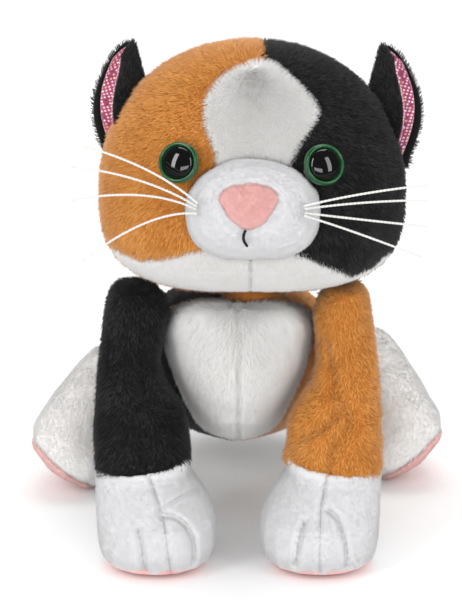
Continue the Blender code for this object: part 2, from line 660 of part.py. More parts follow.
def make_torso():
    """Chest, sides, underside, stuffing and the pouch of pellets that weighs the seat down."""
    skin = torso_skin()
    far = 200.0 * MM
    chest = scaled(CHEST_OUTLINE)
    chest_hole = prism("chest_hole", grown(chest, GAP), -far, CHEST_BACK_Y + GAP)
    belly_block = block("belly_block", (-far, -far, -far), (far, far, BELLY_TOP))
    belly_hole = block("belly_hole", (-far, -far, -far), (far, far, BELLY_TOP + GAP))

    for name, low_x, high_x in (("chest_panel_right", -far, -GAP / 2),
                                ("chest_panel_left", GAP / 2, far)):
        panel = shell(name, skin, "white_fur")
        cut(panel, prism(name + "_edge", chest, -far, CHEST_BACK_Y), "INTERSECT")
        cut(panel, block(name + "_half", (low_x, -far, -far), (high_x, far, far)), "INTERSECT")
        cut(panel, belly_hole, "DIFFERENCE")

    for name, finish, low_x, high_x in (("side_panel_right", "black_fur", -far, -GAP / 2),
                                        ("side_panel_left", "orange_fur", GAP / 2, far)):
        panel = shell(name, skin, finish)
        cut(panel, block(name + "_half", (low_x, -far, -far), (high_x, far, far)), "INTERSECT")
        cut(panel, chest_hole, "DIFFERENCE")
        cut(panel, belly_hole, "DIFFERENCE")

    belly = shell("belly_panel", skin, "white_fur")
    cut(belly, belly_block, "INTERSECT")

    stuffing = core("body_stuffing", skin, "fibre_fill", None, TORSO_INSET)
    cut(stuffing, block("stuffing_part", (-far, -far, PELLET_TOP), (far, far, far)), "INTERSECT")
    pellets = core("pellet_bag", skin, "pellet_pouch", None, TORSO_INSET)
    cut(pellets, block("pellet_part", (-far, -far, -far), (far, far, PELLET_TOP - GAP)),
        "INTERSECT")


def make_neck(turn):
    """The neck's gusset: a low dome on which the head turns and nods."""
    rings = []
    for k in range(6):
        share = math.cos(math.radians(80.0) * k / 5)
        z = NECK_HEIGHT * math.sin(math.radians(80.0) * k / 5)
        rings.append([Vector((NECK_RADIUS * share * math.cos(2 * math.pi * i / 24),
                              NECK_RADIUS * share * math.sin(2 * math.pi * i / 24), z))
                      for i in range(24)])
    make_object("neck_gusset", mesh_from_rings("neck", rings), "orange_fur", turn)


# Legs -------------------------------------------------------------------------------------------

def leg_skin(sign, pivot):
    """A front leg and its paw as level rings round the pivot's frame."""
    rings = []
    for z, inner, outer, front, back in LEG_ROWS:
        centre = Vector((sign * (inner + outer) / 2, (front + back) / 2, z)) * MM - pivot
        wide, deep = (outer - inner) / 2 * MM, (back - front) / 2 * MM
        ring = []
        for i in range(LEG_SIDES):
            angle = 2 * math.pi * i / LEG_SIDES
            across = math.copysign(abs(math.cos(angle)) ** 0.9, math.cos(angle))
            along = math.copysign(abs(math.sin(angle)) ** 0.9, math.sin(angle))
            ring.append(centre + Vector((wide * across, deep * along, 0.0)))
        rings.append(ring)
    return mesh_from_rings("leg_skin", rings)


def make_front_leg(side, finish):
    """Sleeve, paw, sole patch and stuffing of one front leg, hung on its shoulder."""
    sign = 1.0 if side == "left" else -1.0
    pivot = Vector((sign * 43.0 * MM, SHOULDER_Y, SHOULDER_Z))
    hip = empty("front_leg_pivot_" + side, pivot)
    skin = leg_skin(sign, pivot)
    far = 200.0 * MM
    hem = HEM_Z - SHOULDER_Z

    _, inner, outer, front, back = LEG_ROWS[0]
    sole = []
    for i in range(24):
        angle = 2 * math.pi * i / 24
        x = sign * (inner + outer) / 2 + SOLE_SHARE * (outer - inner) / 2 * math.cos(angle)
        y = (front + back) / 2 + SOLE_SHARE * (back - front) / 2 * math.sin(angle)
        sole.append((x * MM - pivot.x, y * MM - pivot.y))
    floor = -SHOULDER_Z
    sole_edge = prism("sole_edge_" + side, sole, floor - 5 * MM, floor + 6 * MM, "Z", hip)
    sole_hole = prism("sole_hole_" + side, grown(sole, GAP), floor - 5 * MM, floor + 6 * MM, "Z",
                      hip)

    tilt = Matrix.Translation((0.0, 0.0, hem)) @ Matrix.Rotation(sign * HEM_TILT, 4, "Y")
    above = block("sleeve_part_" + side, (-far, -far, GAP / 2), (far, far, far), hip)
    below = block("paw_part_" + side, (-far, -far, -far), (far, far, -GAP / 2), hip)
    sleeve = shell("front_leg_sleeve_" + side, skin, finish, hip)
    paw = shell("front_paw_cover_" + side, skin, "white_velboa", hip)
    for piece, cutter in ((sleeve, above), (paw, below)):
        cutter.data.transform(tilt)
        cut(piece, cutter, "INTERSECT")
    cut(paw, sole_hole, "DIFFERENCE")
    patch = shell("front_paw_sole_" + side, skin, "pink_velboa", hip)
    cut(patch, sole_edge, "INTERSECT")
    core("front_leg_stuffing_" + side, skin, "fibre_fill", hip)


def ellipsoid(bm, size, frame, rings=9, sides=16):
    """Add an ellipsoid to a bmesh."""
    made = bmesh.ops.create_uvsphere(bm, u_segments=sides, v_segments=rings, radius=1.0)
    matrix = frame @ Matrix.Diagonal((*size, 1.0))
    bmesh.ops.transform(bm, matrix=matrix, verts=made["verts"])


def make_hind_leg(side):
    """Cover, sole patch and stuffing of one hind leg, hung on its hip."""
    sign = 1.0 if side == "left" else -1.0
    mirror = Matrix.Diagonal((sign, 1.0, 1.0, 1.0))
    shift = HIND_SHIFT[side]
    pivot = Vector((sign * (THIGH_CENTRE.x - 12 * MM), THIGH_CENTRE.y, THIGH_CENTRE.z)) + shift
    hip = empty("hind_leg_pivot_" + side, pivot)
    roll = (Matrix.Rotation(FOOT_TURN, 4, "Z") @ Matrix.Rotation(FOOT_LIFT, 4, "X")
            @ Matrix.Rotation(-FOOT_ROLL, 4, "Y"))
    foot_frame = Matrix.Translation(FOOT_CENTRE) @ roll

    bm = bmesh.new()
    ellipsoid(bm, THIGH_SIZE[side], Matrix.Translation(THIGH_CENTRE))
    ellipsoid(bm, FOOT_SIZE, foot_frame)
    hull = bmesh.ops.convex_hull(bm, input=bm.verts)
    bmesh.ops.delete(bm, geom=list(set(hull["geom_interior"]) | set(hull["geom_unused"])),
                     context="VERTS")
    bmesh.ops.transform(bm, matrix=Matrix.Translation(shift - pivot) @ mirror, verts=bm.verts)
    bmesh.ops.recalc_face_normals(bm, faces=bm.faces)
    rough = bpy.data.meshes.new("hind_hull")
    bm.to_mesh(rough)
    bm.free()
    skin = remeshed(rough, HIND_VOXEL)
    for vertex in skin.vertices:
        vertex.co.z = max(vertex.co.z, -pivot.z)

    low = -FOOT_SIZE.z + SOLE_DEPTH
    wide = 60.0 * MM
    cutters = {}
    for part, grow in (("edge", 0.0), ("hole", GAP)):
        cutter = block("hind_sole_" + part + "_" + side, (-wide, -FOOT_SIZE.y - wide, -wide),
                       (wide, FOOT_SIZE.y * 0.9 + grow, low + grow))
        cutter.data.transform(Matrix.Translation(shift - pivot) @ mirror @ foot_frame)
        if sign < 0:
            cutter.data.flip_normals()
        cutter.parent = hip
        cutters[part] = cutter

    cover = shell("hind_leg_cover_" + side, skin, "white_fur", hip)
    cut(cover, cutters["hole"], "DIFFERENCE")
    patch = shell("hind_paw_sole_" + side, skin, "pink_velboa", hip)
    cut(patch, cutters["edge"], "INTERSECT")
    core("hind_leg_stuffing_" + side, skin, "fibre_fill", hip, HIND_INSET)


def remeshed(mesh, voxel):
    """An even quad mesh of a closed form, eased by smoothing."""
    holder = make_object("remesh_holder", mesh, None)
    step = holder.modifiers.new("remesh", "REMESH")
    step.mode = "VOXEL"
    step.voxel_size = voxel
    ease = holder.modifiers.new("ease", "SMOOTH")
    ease.factor = 0.5
    ease.iterations = 4
    depsgraph = bpy.context.evaluated_depsgraph_get()
    result = bpy.data.meshes.new_from_object(holder.evaluated_get(depsgraph))
    bpy.data.objects.remove(holder, do_unlink=True)
    return result


# Tail -------------------------------------------------------------------------------------------

def make_tail():
    """Tail cover and stuffing, hung on the seam at the rump."""
    path = [Vector(point) * MM for point in TAIL_PATH]
    pivot = path[0]
    root = empty("tail_pivot", pivot)
    spine = []
    for i in range(len(path) - 1):
        p0, p1, p2, p3 = (path[min(max(i + k, 0), len(path) - 1)] for k in (-1, 0, 1, 2))
        for s in range(3):
            t = s / 3
            spine.append(0.5 * ((2 * p1) + (p2 - p0) * t + (2 * p0 - 5 * p1 + 4 * p2 - p3) * t * t
                                + (3 * p1 - p0 - 3 * p2 + p3) * t ** 3))
    spine.append(path[-1])
    rings = []
    last = len(spine) - 1
    first_dir = (spine[1] - spine[0]).normalized()
    last_dir = (spine[-1] - spine[-2]).normalized()
    stations = []
    for turn in (75, 45, 20):
        c, s = math.cos(math.radians(turn)), math.sin(math.radians(turn))
        stations.append((spine[0] - first_dir * TAIL_RADIUS * 0.9 * s, first_dir, c))
    for i, point in enumerate(spine):
        ahead = (spine[min(i + 1, last)] - spine[max(i - 1, 0)]).normalized()
        stations.append((point, ahead, 1.0))
    for turn in (20, 45, 75):
        c, s = math.cos(math.radians(turn)), math.sin(math.radians(turn))
        stations.append((spine[-1] + last_dir * TAIL_RADIUS * 0.9 * s, last_dir, c))
    for point, ahead, share in stations:
        side = ahead.cross(Vector((0, 0, 1))).normalized()
        up = side.cross(ahead).normalized()
        ring = []
        for k in range(TAIL_SIDES):
            angle = 2 * math.pi * k / TAIL_SIDES
            ring.append(point - pivot + TAIL_RADIUS * share
                        * (side * math.cos(angle) + up * math.sin(angle)))
        rings.append(ring)
    skin = mesh_from_rings("tail_skin", rings)
    cover = shell("tail_cover", skin, "black_fur", root)
    core("tail_stuffing", skin, "fibre_fill", root)
    opening = cord_mesh("tail_opening", [rings_centre(rings[0]) - first_dir * 4 * MM,
                                         rings_centre(rings[0]) + first_dir * 4 * MM],
                        2.0 * MM, 10)
    hole = make_object("tail_opening", opening, None, root)
    hole.hide_render = True
    hole.display_type = "WIRE"
    cut(cover, hole, "DIFFERENCE")


def rings_centre(ring):
    """Middle of a ring of points."""
    return sum(ring, Vector()) / len(ring)


def build():
    """Build the whole cat."""
    clear_scene()
    turn = empty("neck_pivot", NECK_CENTRE)
    nod = empty("nod_pivot", NOD_CENTRE)
    head = empty("head_frame", HEAD_CENTRE - NOD_CENTRE, (HEAD_PITCH, 0.0, 0.0), nod)
    stuffing = make_head(head)
    make_muzzle(head)
    make_eyes(head, stuffing)
    make_ears(head)
    make_whiskers(head)
    make_neck(turn)
    make_torso()
    make_front_leg("left", "orange_fur")
    make_front_leg("right", "black_fur")
    make_hind_leg("left")
    make_hind_leg("right")
    make_tail()
    for obj in bpy.data.objects:
        if obj.parent is None:
            obj.location.y -= MIDDLE_Y


build()
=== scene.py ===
"""Looks of the seated plush calico cat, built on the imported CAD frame.

Each soft unit (head, muzzle, torso, legs) is wrapped in a smooth skin that a short cloth simulation
puffs up between its seams. The panels are the CAD panels, remeshed and drawn onto that skin, and
their pile is real geometry: short closed spikes that follow the nap.
"""

import math

import bpy
import numpy as np
from mathutils import Matrix, Vector
from mathutils.bvhtree import BVHTree


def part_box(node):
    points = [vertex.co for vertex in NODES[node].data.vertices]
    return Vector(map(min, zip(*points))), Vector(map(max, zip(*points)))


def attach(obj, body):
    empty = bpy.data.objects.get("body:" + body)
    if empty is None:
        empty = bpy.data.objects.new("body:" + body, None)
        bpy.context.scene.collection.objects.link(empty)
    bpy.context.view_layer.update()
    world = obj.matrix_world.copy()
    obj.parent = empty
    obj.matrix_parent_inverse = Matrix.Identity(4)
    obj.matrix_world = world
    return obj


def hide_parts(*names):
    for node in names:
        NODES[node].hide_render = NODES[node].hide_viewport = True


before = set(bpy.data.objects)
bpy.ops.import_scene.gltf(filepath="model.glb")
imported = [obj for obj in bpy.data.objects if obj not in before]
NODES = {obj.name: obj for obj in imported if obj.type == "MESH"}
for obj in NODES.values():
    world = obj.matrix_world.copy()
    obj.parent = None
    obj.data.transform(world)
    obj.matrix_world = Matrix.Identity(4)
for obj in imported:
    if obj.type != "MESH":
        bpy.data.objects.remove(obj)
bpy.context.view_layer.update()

MM = 0.001
SIDES = ("left", "right")

# Fabric
FABRIC = 2.0 * MM
PANEL_VOXEL = 1.3 * MM
SKIN_CELLS = 34
SIM_CELLS = 24
SIM_SCALE = 10.0


# Arrays and meshes -------------------------------------------------------------------------------

def arrays(obj):
    """Vertices and triangles of an object's mesh."""
    mesh = obj.data
    mesh.calc_loop_triangles()
    points = np.empty(len(mesh.vertices) * 3, np.float32)
    mesh.vertices.foreach_get("co", points)
    triangles = np.empty(len(mesh.loop_triangles) * 3, np.int32)
    mesh.loop_triangles.foreach_get("vertices", triangles)
    return points.reshape(-1, 3).astype(float), triangles.reshape(-1, 3)


def merged(names):
    """Vertices and triangles of several CAD nodes, and the node each triangle is from."""
    points, triangles, owner, start = [], [], [], 0
    for k, name in enumerate(names):
        co, tri = arrays(NODES[name])
        points.append(co)
        triangles.append(tri + start)
        owner.append(np.full(len(tri), k))
        start += len(co)
    return np.concatenate(points), np.concatenate(triangles), np.concatenate(owner)


def new_mesh(name, points, faces, slots=None):
    """A mesh from an array of points and a list of face arrays (triangles or quads)."""
    mesh = bpy.data.meshes.new(name)
    mesh.vertices.add(len(points))
    mesh.vertices.foreach_set("co", np.asarray(points, np.float32).ravel())
    corners = np.concatenate([f.ravel() for f in faces])
    sizes = np.concatenate([np.full(len(f), f.shape[1]) for f in faces])
    starts = np.concatenate([[0], np.cumsum(sizes)[:-1]])
    mesh.loops.add(len(corners))
    mesh.loops.foreach_set("vertex_index", corners.astype(np.int32))
    mesh.polygons.add(len(sizes))
    mesh.polygons.foreach_set("loop_start", starts.astype(np.int32))
    if slots is not None:
        mesh.polygons.foreach_set("material_index", np.asarray(slots, np.int32))
    mesh.update(calc_edges=True)
    mesh.shade_smooth()
    return mesh


def put(name, mesh, materials):
    """An object in the scene with its materials."""
    obj = bpy.data.objects.new(name, mesh)
    bpy.context.scene.collection.objects.link(obj)
    for made in materials:
        mesh.materials.append(made)
    return obj


def applied(name, points, faces, *modifiers):
    """Points and faces after a few modifiers, each given as (type, settings)."""
    mesh = new_mesh(name, points, [faces])
    obj = put(name, mesh, [])
    for kind, settings in modifiers:
        step = obj.modifiers.new(kind.lower(), kind)
        for key, value in settings.items():
            setattr(step, key, value)
    graph = bpy.context.evaluated_depsgraph_get()
    result = bpy.data.meshes.new_from_object(obj.evaluated_get(graph))
    bpy.data.objects.remove(obj, do_unlink=True)
    bpy.data.meshes.remove(mesh)
    co = np.empty(len(result.vertices) * 3, np.float32)
    result.vertices.foreach_get("co", co)
    quads = np.array([tuple(p.vertices) for p in result.polygons if len(p.vertices) == 4], np.int32)
    bpy.data.meshes.remove(result)
    return co.reshape(-1, 3).astype(float), quads.reshape(-1, 4)


def vertex_normals(points, faces):
    """Area-weighted vertex normals of quads or triangles."""
    a, b, c = points[faces[:, 0]], points[faces[:, 1]], points[faces[:, 2]]
    if faces.shape[1] == 4:
        d = points[faces[:, 3]]
        normal = np.cross(c - a, d - b)
    else:
        normal = np.cross(b - a, c - a)
    total = np.zeros_like(points)
    for k in range(faces.shape[1]):
        np.add.at(total, faces[:, k], normal)
    return total / np.maximum(np.linalg.norm(total, axis=1, keepdims=True), 1e-12)


def unit(vectors):
    """Vectors at length one."""
    return vectors / np.maximum(np.linalg.norm(vectors, axis=-1, keepdims=True), 1e-12)


def relaxed(points, faces, rounds, shrink=0.5, grow=-0.53):
    """Smoothing that keeps the volume: each round pulls to the neighbours' mean, then pushes."""
    edges = np.concatenate([faces[:, [k, (k + 1) % faces.shape[1]]] for k in range(faces.shape[1])])
    count = np.zeros(len(points))
    np.add.at(count, edges[:, 0], 1.0)
    np.add.at(count, edges[:, 1], 1.0)
    for _ in range(rounds):
        for share in (shrink, grow):
            total = np.zeros_like(points)
            np.add.at(total, edges[:, 0], points[edges[:, 1]])
            np.add.at(total, edges[:, 1], points[edges[:, 0]])
            points = points + share * (total / np.maximum(count, 1.0)[:, None] - points)
    return points


def noise(points, size, seed):
    """Smooth value noise from -1 to 1 at points, with features of one size."""
    cell = points / size
    base = np.floor(cell).astype(np.int64)
    part = cell - base
    ease = part * part * (3 - 2 * part)
    total = np.zeros(len(points))
    for corner in range(8):
        step = np.array([(corner >> k) & 1 for k in range(3)])
        at = base + step
        mixed = (at[:, 0] * 73856093) ^ (at[:, 1] * 19349663) ^ (at[:, 2] * 83492791) ^ (seed * 2654435)
        mixed = (mixed ^ (mixed >> 13)) * 1274126177
        value = ((mixed ^ (mixed >> 16)) & 0xFFFF) / 32767.5 - 1.0
        weight = np.prod(np.where(step == 1, ease, 1 - ease), axis=1)
        total += weight * value
    return total


# Skins -------------------------------------------------------------------------------------------

def cube_sphere(cells):
    """Directions and quads of a cube's grid blown up to a sphere."""
    line = np.tan(np.linspace(-math.pi / 4, math.pi / 4, cells + 1))
    points, quads, known = [], [], {}
    for axis in range(3):
        for sign in (-1.0, 1.0):
            grid = np.empty((cells + 1, cells + 1), int)
            for i, u in enumerate(line):
                for j, v in enumerate(line):
                    point = [0.0, 0.0, 0.0]
                    point[axis] = sign
                    point[(axis + 1) % 3] = u
                    point[(axis + 2) % 3] = v
                    key = tuple(round(x, 6) for x in point)
                    if key not in known:
                        known[key] = len(points)
                        points.append(point)
                    grid[i, j] = known[key]
            for i in range(cells):
                for j in range(cells):
                    quad = (grid[i, j], grid[i + 1, j], grid[i + 1, j + 1], grid[i, j + 1])
                    quads.append(quad if sign > 0 else quad[::-1])
    return unit(np.array(points)), np.array(quads, np.int32)


def tree(points, faces):
    """A search tree over a surface."""
    return BVHTree.FromPolygons(points.tolist(), faces.tolist())


def reach(search, centre, directions, far=0.4):
    """Distance from the centre to the outer surface along each direction, and the face hit."""
    middle = Vector(centre)
    result = np.zeros(len(directions))
    hit_face = np.full(len(directions), -1)
    slope = np.ones(len(directions))
    for k, direction in enumerate(directions):
        d = Vector(direction)
        spot, normal, index, _ = search.ray_cast(middle + d * far, -d)
        if spot is not None:
            result[k] = (spot - middle).length
            hit_face[k] = index
            slope[k] = max(0.6, abs(normal.dot(d)))
    return result, hit_face, slope


class Skin:
    """A smooth closed skin round one unit of CAD panels, and the way onto it from the CAD."""

    def __init__(self, name, panels, cores, inset, rounds=30, centre=None, pin=2.6 * MM,
                 extra=0.0, puff=1.2 * MM):
        self.name = name
        names = list(panels) + list(cores)
        points, triangles, owner = merged(names)
        core_points, core_triangles, _ = merged(cores)
        self.core = tree(core_points, core_triangles)
        low, high = core_points.min(0), core_points.max(0)
        self.centre = np.array(centre) if centre is not None else (low + high) / 2
        half = (high - low) / 2
        spheres, quads = cube_sphere(SKIN_CELLS)
        self.quads = quads
        directions = unit(spheres * half)
        search = tree(points, triangles)
        length, face, slope = reach(search, self.centre, directions)
        behind = (face >= 0) & (owner[np.maximum(face, 0)] >= len(panels))
        length = np.where(behind, length + inset / slope, length)
        self.raw = self.centre + directions * length[:, None]
        self.raw = relaxed(self.raw, quads, 1)
        smooth = relaxed(self.raw, quads, rounds)
        smooth = self.puffed(smooth, panels, pin, extra, puff)
        self.smooth = smooth
        self.raw_tree = tree(self.raw, quads)
        self.tree = tree(smooth, quads)
        self.normals = vertex_normals(smooth, quads)

    def puffed(self, points, panels, pin, extra, cap):
        """The skin after a short cloth simulation with air pressure, held along the seams."""
        seams = seam_distance(points, panels)
        normal = vertex_normals(points, self.quads)
        start = points - normal * 0.5 * cap
        mesh = new_mesh("sim", start * SIM_SCALE, [self.quads])
        obj = put("sim", mesh, [])
        group = obj.vertex_groups.new(name="hold")
        hold = np.clip(1.0 - seams / pin, 0.0, 1.0)
        for k in np.nonzero(hold > 0.02)[0]:
            group.add([int(k)], float(hold[k]), "REPLACE")
        cloth = obj.modifiers.new("cloth", "CLOTH")
        settings = cloth.settings
        settings.quality = 4
        settings.use_pressure = True
        settings.uniform_pressure_force = 4.0
        settings.effector_weights.gravity = 0.0
        settings.vertex_group_mass = "hold"
        settings.shrink_min = -extra
        settings.bending_stiffness = 1.0
        cloth.point_cache.frame_start = 1
        cloth.point_cache.frame_end = 20
        scene = bpy.context.scene
        for number in range(1, 21):
            scene.frame_set(number)
        graph = bpy.context.evaluated_depsgraph_get()
        result = obj.evaluated_get(graph).data
        moved = np.empty(len(result.vertices) * 3, np.float32)
        result.vertices.foreach_get("co", moved)
        moved = moved.reshape(-1, 3).astype(float) / SIM_SCALE
        scene.frame_set(1)
        bpy.data.objects.remove(obj, do_unlink=True)
        shift = moved - start
        size = np.linalg.norm(shift, axis=1)
        print("sim", self.name, "mean", size.mean() * 1000, "max", size.max() * 1000)
        shift *= np.minimum(1.0, cap / np.maximum(size, 1e-9))[:, None]
        return relaxed(start + shift, self.quads, 2)

    def place(self, points, inset=0.0):
        """CAD points drawn along their rays from the CAD's facets onto the smooth skin."""
        away = points - self.centre
        distance = np.linalg.norm(away, axis=1)
        directions = away / np.maximum(distance, 1e-9)[:, None]
        before, _, _ = reach(self.raw_tree, self.centre, directions)
        after, _, slope = reach(self.tree, self.centre, directions)
        after = after - inset / slope
        ratio = np.where(before > 0, after / np.maximum(before, 1e-9), 1.0)
        return self.centre + away * ratio[:, None]


def seam_distance(points, panels):
    """How far each point is from the nearest seam between two of the panels."""
    searches = [tree(*arrays(NODES[name])) for name in panels]
    if len(searches) < 2:
        return np.full(len(points), 1.0)
    result = np.empty(len(points))
    for k, point in enumerate(points):
        spot = Vector(point)
        found = sorted(search.find_nearest(spot)[3] for search in searches)
        result[k] = math.sqrt(max(0.0, found[1] ** 2 - found[0] ** 2))
    return result


# Materials ---------------------------------------------------------------------------------------

def principled(name, colour, roughness, **settings):
    """A Principled material with plain values, and its node tree."""
    made = bpy.data.materials.new(name)
    made.use_nodes = True
    shader = made.node_tree.nodes["Principled BSDF"]
    shader.inputs["Base Color"].default_value = (*colour, 1.0)
    shader.inputs["Roughness"].default_value = roughness
    for key, value in settings.items():
        shader.inputs[key.replace("_", " ")].default_value = value
    made.diffuse_color = (*colour, 1.0)
    return made, shader


def node(made, kind, **inputs):
    """A node in a material's tree."""
    added = made.node_tree.nodes.new(kind)
    for key, value in inputs.items():
        added.inputs[key].default_value = value
    return added


def wire(made, out, into):
    """A link between two sockets."""
    made.node_tree.links.new(out, into)


def pile(name, colour, roughness=0.9, sheen=0.25):
    """One tone of a pile: its sheen varies from spot to spot."""
    made, shader = principled(name, colour, roughness, Specular_IOR_Level=0.15)
    shader.inputs["Sheen Roughness"].default_value = 0.5
    where = node(made, "ShaderNodeTexCoord")
    grain = node(made, "ShaderNodeTexNoise", Scale=420.0, Detail=3.0)
    wire(made, where.outputs["Object"], grain.inputs["Vector"])
    spread = made.node_tree.nodes.new("ShaderNodeMapRange")
    spread.inputs["To Min"].default_value = 0.4 * sheen
    spread.inputs["To Max"].default_value = 1.6 * sheen
    wire(made, grain.outputs["Fac"], spread.inputs["Value"])
    wire(made, spread.outputs["Result"], shader.inputs["Sheen Weight"])
    return made


def tones(name, colour, spread, count=4, **settings):
    """Darker to lighter tones of one pile."""
    made = []
    for k in range(count):
        share = -1.0 + 2.0 * k / (count - 1)
        shade = tuple(min(1.0, c * math.exp(share * s)) for c, s in zip(colour, spread))
        made.append(pile(f"{name}_{k + 1}", shade, **settings))
    return made


def velboa(name, colour, second, scale=900.0, bump=0.25, roughness=0.85, blot=60.0):
    """Short-pile fabric: two close colours in soft blots, with a fine grain."""
    made, shader = principled(name, colour, roughness, Sheen_Weight=0.2, Specular_IOR_Level=0.15)
    where = node(made, "ShaderNodeTexCoord")
    blots = node(made, "ShaderNodeTexNoise", Scale=blot, Detail=6.0, Roughness=0.65)
    grain = node(made, "ShaderNodeTexNoise", Scale=scale, Detail=4.0, Roughness=0.7)
    for texture in (blots, grain):
        wire(made, where.outputs["Object"], texture.inputs["Vector"])
    both = node(made, "ShaderNodeMath")
    both.operation = "MULTIPLY_ADD"
    both.inputs[1].default_value = 0.6
    wire(made, grain.outputs["Fac"], both.inputs[0])
    half = node(made, "ShaderNodeMath")
    half.operation = "MULTIPLY"
    half.inputs[1].default_value = 0.4
    wire(made, blots.outputs["Fac"], half.inputs[0])
    wire(made, half.outputs["Value"], both.inputs[2])
    ramp = made.node_tree.nodes.new("ShaderNodeValToRGB")
    ramp.color_ramp.elements[0].position = 0.36
    ramp.color_ramp.elements[0].color = (*second, 1.0)
    ramp.color_ramp.elements[1].position = 0.60
    ramp.color_ramp.elements[1].color = (*colour, 1.0)
    wire(made, both.outputs["Value"], ramp.inputs["Fac"])
    wire(made, ramp.outputs["Color"], shader.inputs["Base Color"])
    relief = node(made, "ShaderNodeBump", Strength=bump, Distance=0.0004)
    wire(made, grain.outputs["Fac"], relief.inputs["Height"])
    wire(made, relief.outputs["Normal"], shader.inputs["Normal"])
    return made


def weave(name, colour, scale, roughness=0.85):
    """Plain-weave cloth: two crossed sets of threads."""
    made, shader = principled(name, colour, roughness)
    where = node(made, "ShaderNodeTexCoord")
    crossed = node(made, "ShaderNodeMath")
    crossed.operation = "MAXIMUM"
    for k, direction in enumerate(("X", "Z")):
        threads = node(made, "ShaderNodeTexWave", Scale=scale, Distortion=0.6)
        threads.bands_direction = direction
        wire(made, where.outputs["Object"], threads.inputs["Vector"])
        wire(made, threads.outputs["Fac"], crossed.inputs[k])
    ramp = made.node_tree.nodes.new("ShaderNodeValToRGB")
    ramp.color_ramp.elements[0].color = (*(0.72 * c for c in colour), 1.0)
    ramp.color_ramp.elements[1].color = (*colour, 1.0)
    wire(made, crossed.outputs["Value"], ramp.inputs["Fac"])
    wire(made, ramp.outputs["Color"], shader.inputs["Base Color"])
    relief = node(made, "ShaderNodeBump", Strength=0.5, Distance=0.0003)
    wire(made, crossed.outputs["Value"], relief.inputs["Height"])
    wire(made, relief.outputs["Normal"], shader.inputs["Normal"])
    return made


def gloss(name, colour, roughness=0.06, haze=0.05):
    """Moulded glossy plastic whose polish varies a little."""
    made, shader = principled(name, colour, roughness, Coat_Weight=1.0, Coat_Roughness=0.03)
    where = node(made, "ShaderNodeTexCoord")
    spots = node(made, "ShaderNodeTexNoise", Scale=700.0, Detail=2.0)
    wire(made, where.outputs["Object"], spots.inputs["Vector"])
    polish = made.node_tree.nodes.new("ShaderNodeMapRange")
    polish.inputs["To Min"].default_value = roughness
    polish.inputs["To Max"].default_value = roughness + haze
    wire(made, spots.outputs["Fac"], polish.inputs["Value"])
    wire(made, polish.outputs["Result"], shader.inputs["Roughness"])
    return made


def foil_dots(name, colour, shadow):
    """Satin printed with small foil dots in silver, gold and green glints."""
    made, shader = principled(name, colour, 0.4, Sheen_Weight=0.3)
    where = node(made, "ShaderNodeTexCoord")
    flat = node(made, "ShaderNodeAttribute")
    flat.attribute_name = "laid_flat"
    cells = node(made, "ShaderNodeTexVoronoi", Scale=640.0, Randomness=0.22)
    cells.voronoi_dimensions = "2D"
    wire(made, flat.outputs["Vector"], cells.inputs["Vector"])
    dot = node(made, "ShaderNodeMath")
    dot.operation = "LESS_THAN"
    dot.inputs[1].default_value = 0.30
    wire(made, cells.outputs["Distance"], dot.inputs[0])
    cloth = node(made, "ShaderNodeTexNoise", Scale=260.0, Detail=5.0)
    wire(made, where.outputs["Object"], cloth.inputs["Vector"])
    base = made.node_tree.nodes.new("ShaderNodeValToRGB")
    base.color_ramp.elements[0].position = 0.3
    base.color_ramp.elements[0].color = (*shadow, 1.0)
    base.color_ramp.elements[1].position = 0.65
    base.color_ramp.elements[1].color = (*colour, 1.0)
    wire(made, cloth.outputs["Fac"], base.inputs["Fac"])
    split = node(made, "ShaderNodeSeparateColor")
    wire(made, cells.outputs["Color"], split.inputs["Color"])
    glint = made.node_tree.nodes.new("ShaderNodeValToRGB")
    glint.color_ramp.interpolation = "CONSTANT"
    stops = glint.color_ramp.elements
    stops[0].color = (0.95, 0.95, 0.97, 1.0)
    stops[1].position = 0.45
    stops[1].color = (0.10, 0.12, 0.13, 1.0)
    for position, shade in ((0.62, (0.85, 0.70, 0.35)), (0.80, (0.85, 0.92, 0.90))):
        stops.new(position).color = (*shade, 1.0)
    wire(made, split.outputs["Red"], glint.inputs["Fac"])
    both = made.node_tree.nodes.new("ShaderNodeMix")
    both.data_type = "RGBA"
    wire(made, dot.outputs["Value"], both.inputs["Factor"])
    wire(made, base.outputs["Color"], both.inputs["A"])
    wire(made, glint.outputs["Color"], both.inputs["B"])
    wire(made, both.outputs["Result"], shader.inputs["Base Color"])
    return made


ORANGE = tones("orange_pile", (0.70, 0.285, 0.060), (0.18, 0.28, 0.45), 5)
BLACK = tones("black_pile", (0.020, 0.020, 0.0205), (0.7, 0.7, 0.7), 5, roughness=0.65, sheen=0.08)
WHITE = tones("white_pile", (0.93, 0.92, 0.90), (0.04, 0.05, 0.06), 3)
CREAM = tones("belly_pile", (0.97, 0.96, 0.94), (0.02, 0.03, 0.04), 3)
PAW = velboa("paw_velboa", (0.66, 0.66, 0.67), (0.63, 0.63, 0.645))
PAW_FUZZ = [pile("paw_fuzz", (0.68, 0.68, 0.69))]
HAUNCH = tones("haunch_pile", (0.96, 0.945, 0.925), (0.02, 0.03, 0.04), 3)
PINK = velboa("pink_velboa", (0.86, 0.50, 0.47), (0.80, 0.42, 0.40), bump=0.5)
PINK_FUZZ = tones("pink_fuzz", (0.87, 0.52, 0.49), (0.06, 0.12, 0.12), 3)
FIBRE = velboa("fibre_fill", (0.86, 0.86, 0.84), (0.76, 0.76, 0.74), scale=500.0, bump=0.8)
POUCH = weave("pellet_pouch", (0.70, 0.68, 0.62), 220.0)
EYE_GREEN = gloss("eye_green_plastic", (0.006, 0.075, 0.020))
EYE_BLACK = gloss("eye_black_plastic", (0.003, 0.003, 0.003), 0.03, 0.02)
MOULDED = gloss("moulded_plastic", (0.62, 0.63, 0.62), 0.35, 0.12)
FOIL = foil_dots("foil_lining", (0.60, 0.085, 0.24), (0.42, 0.05, 0.16))
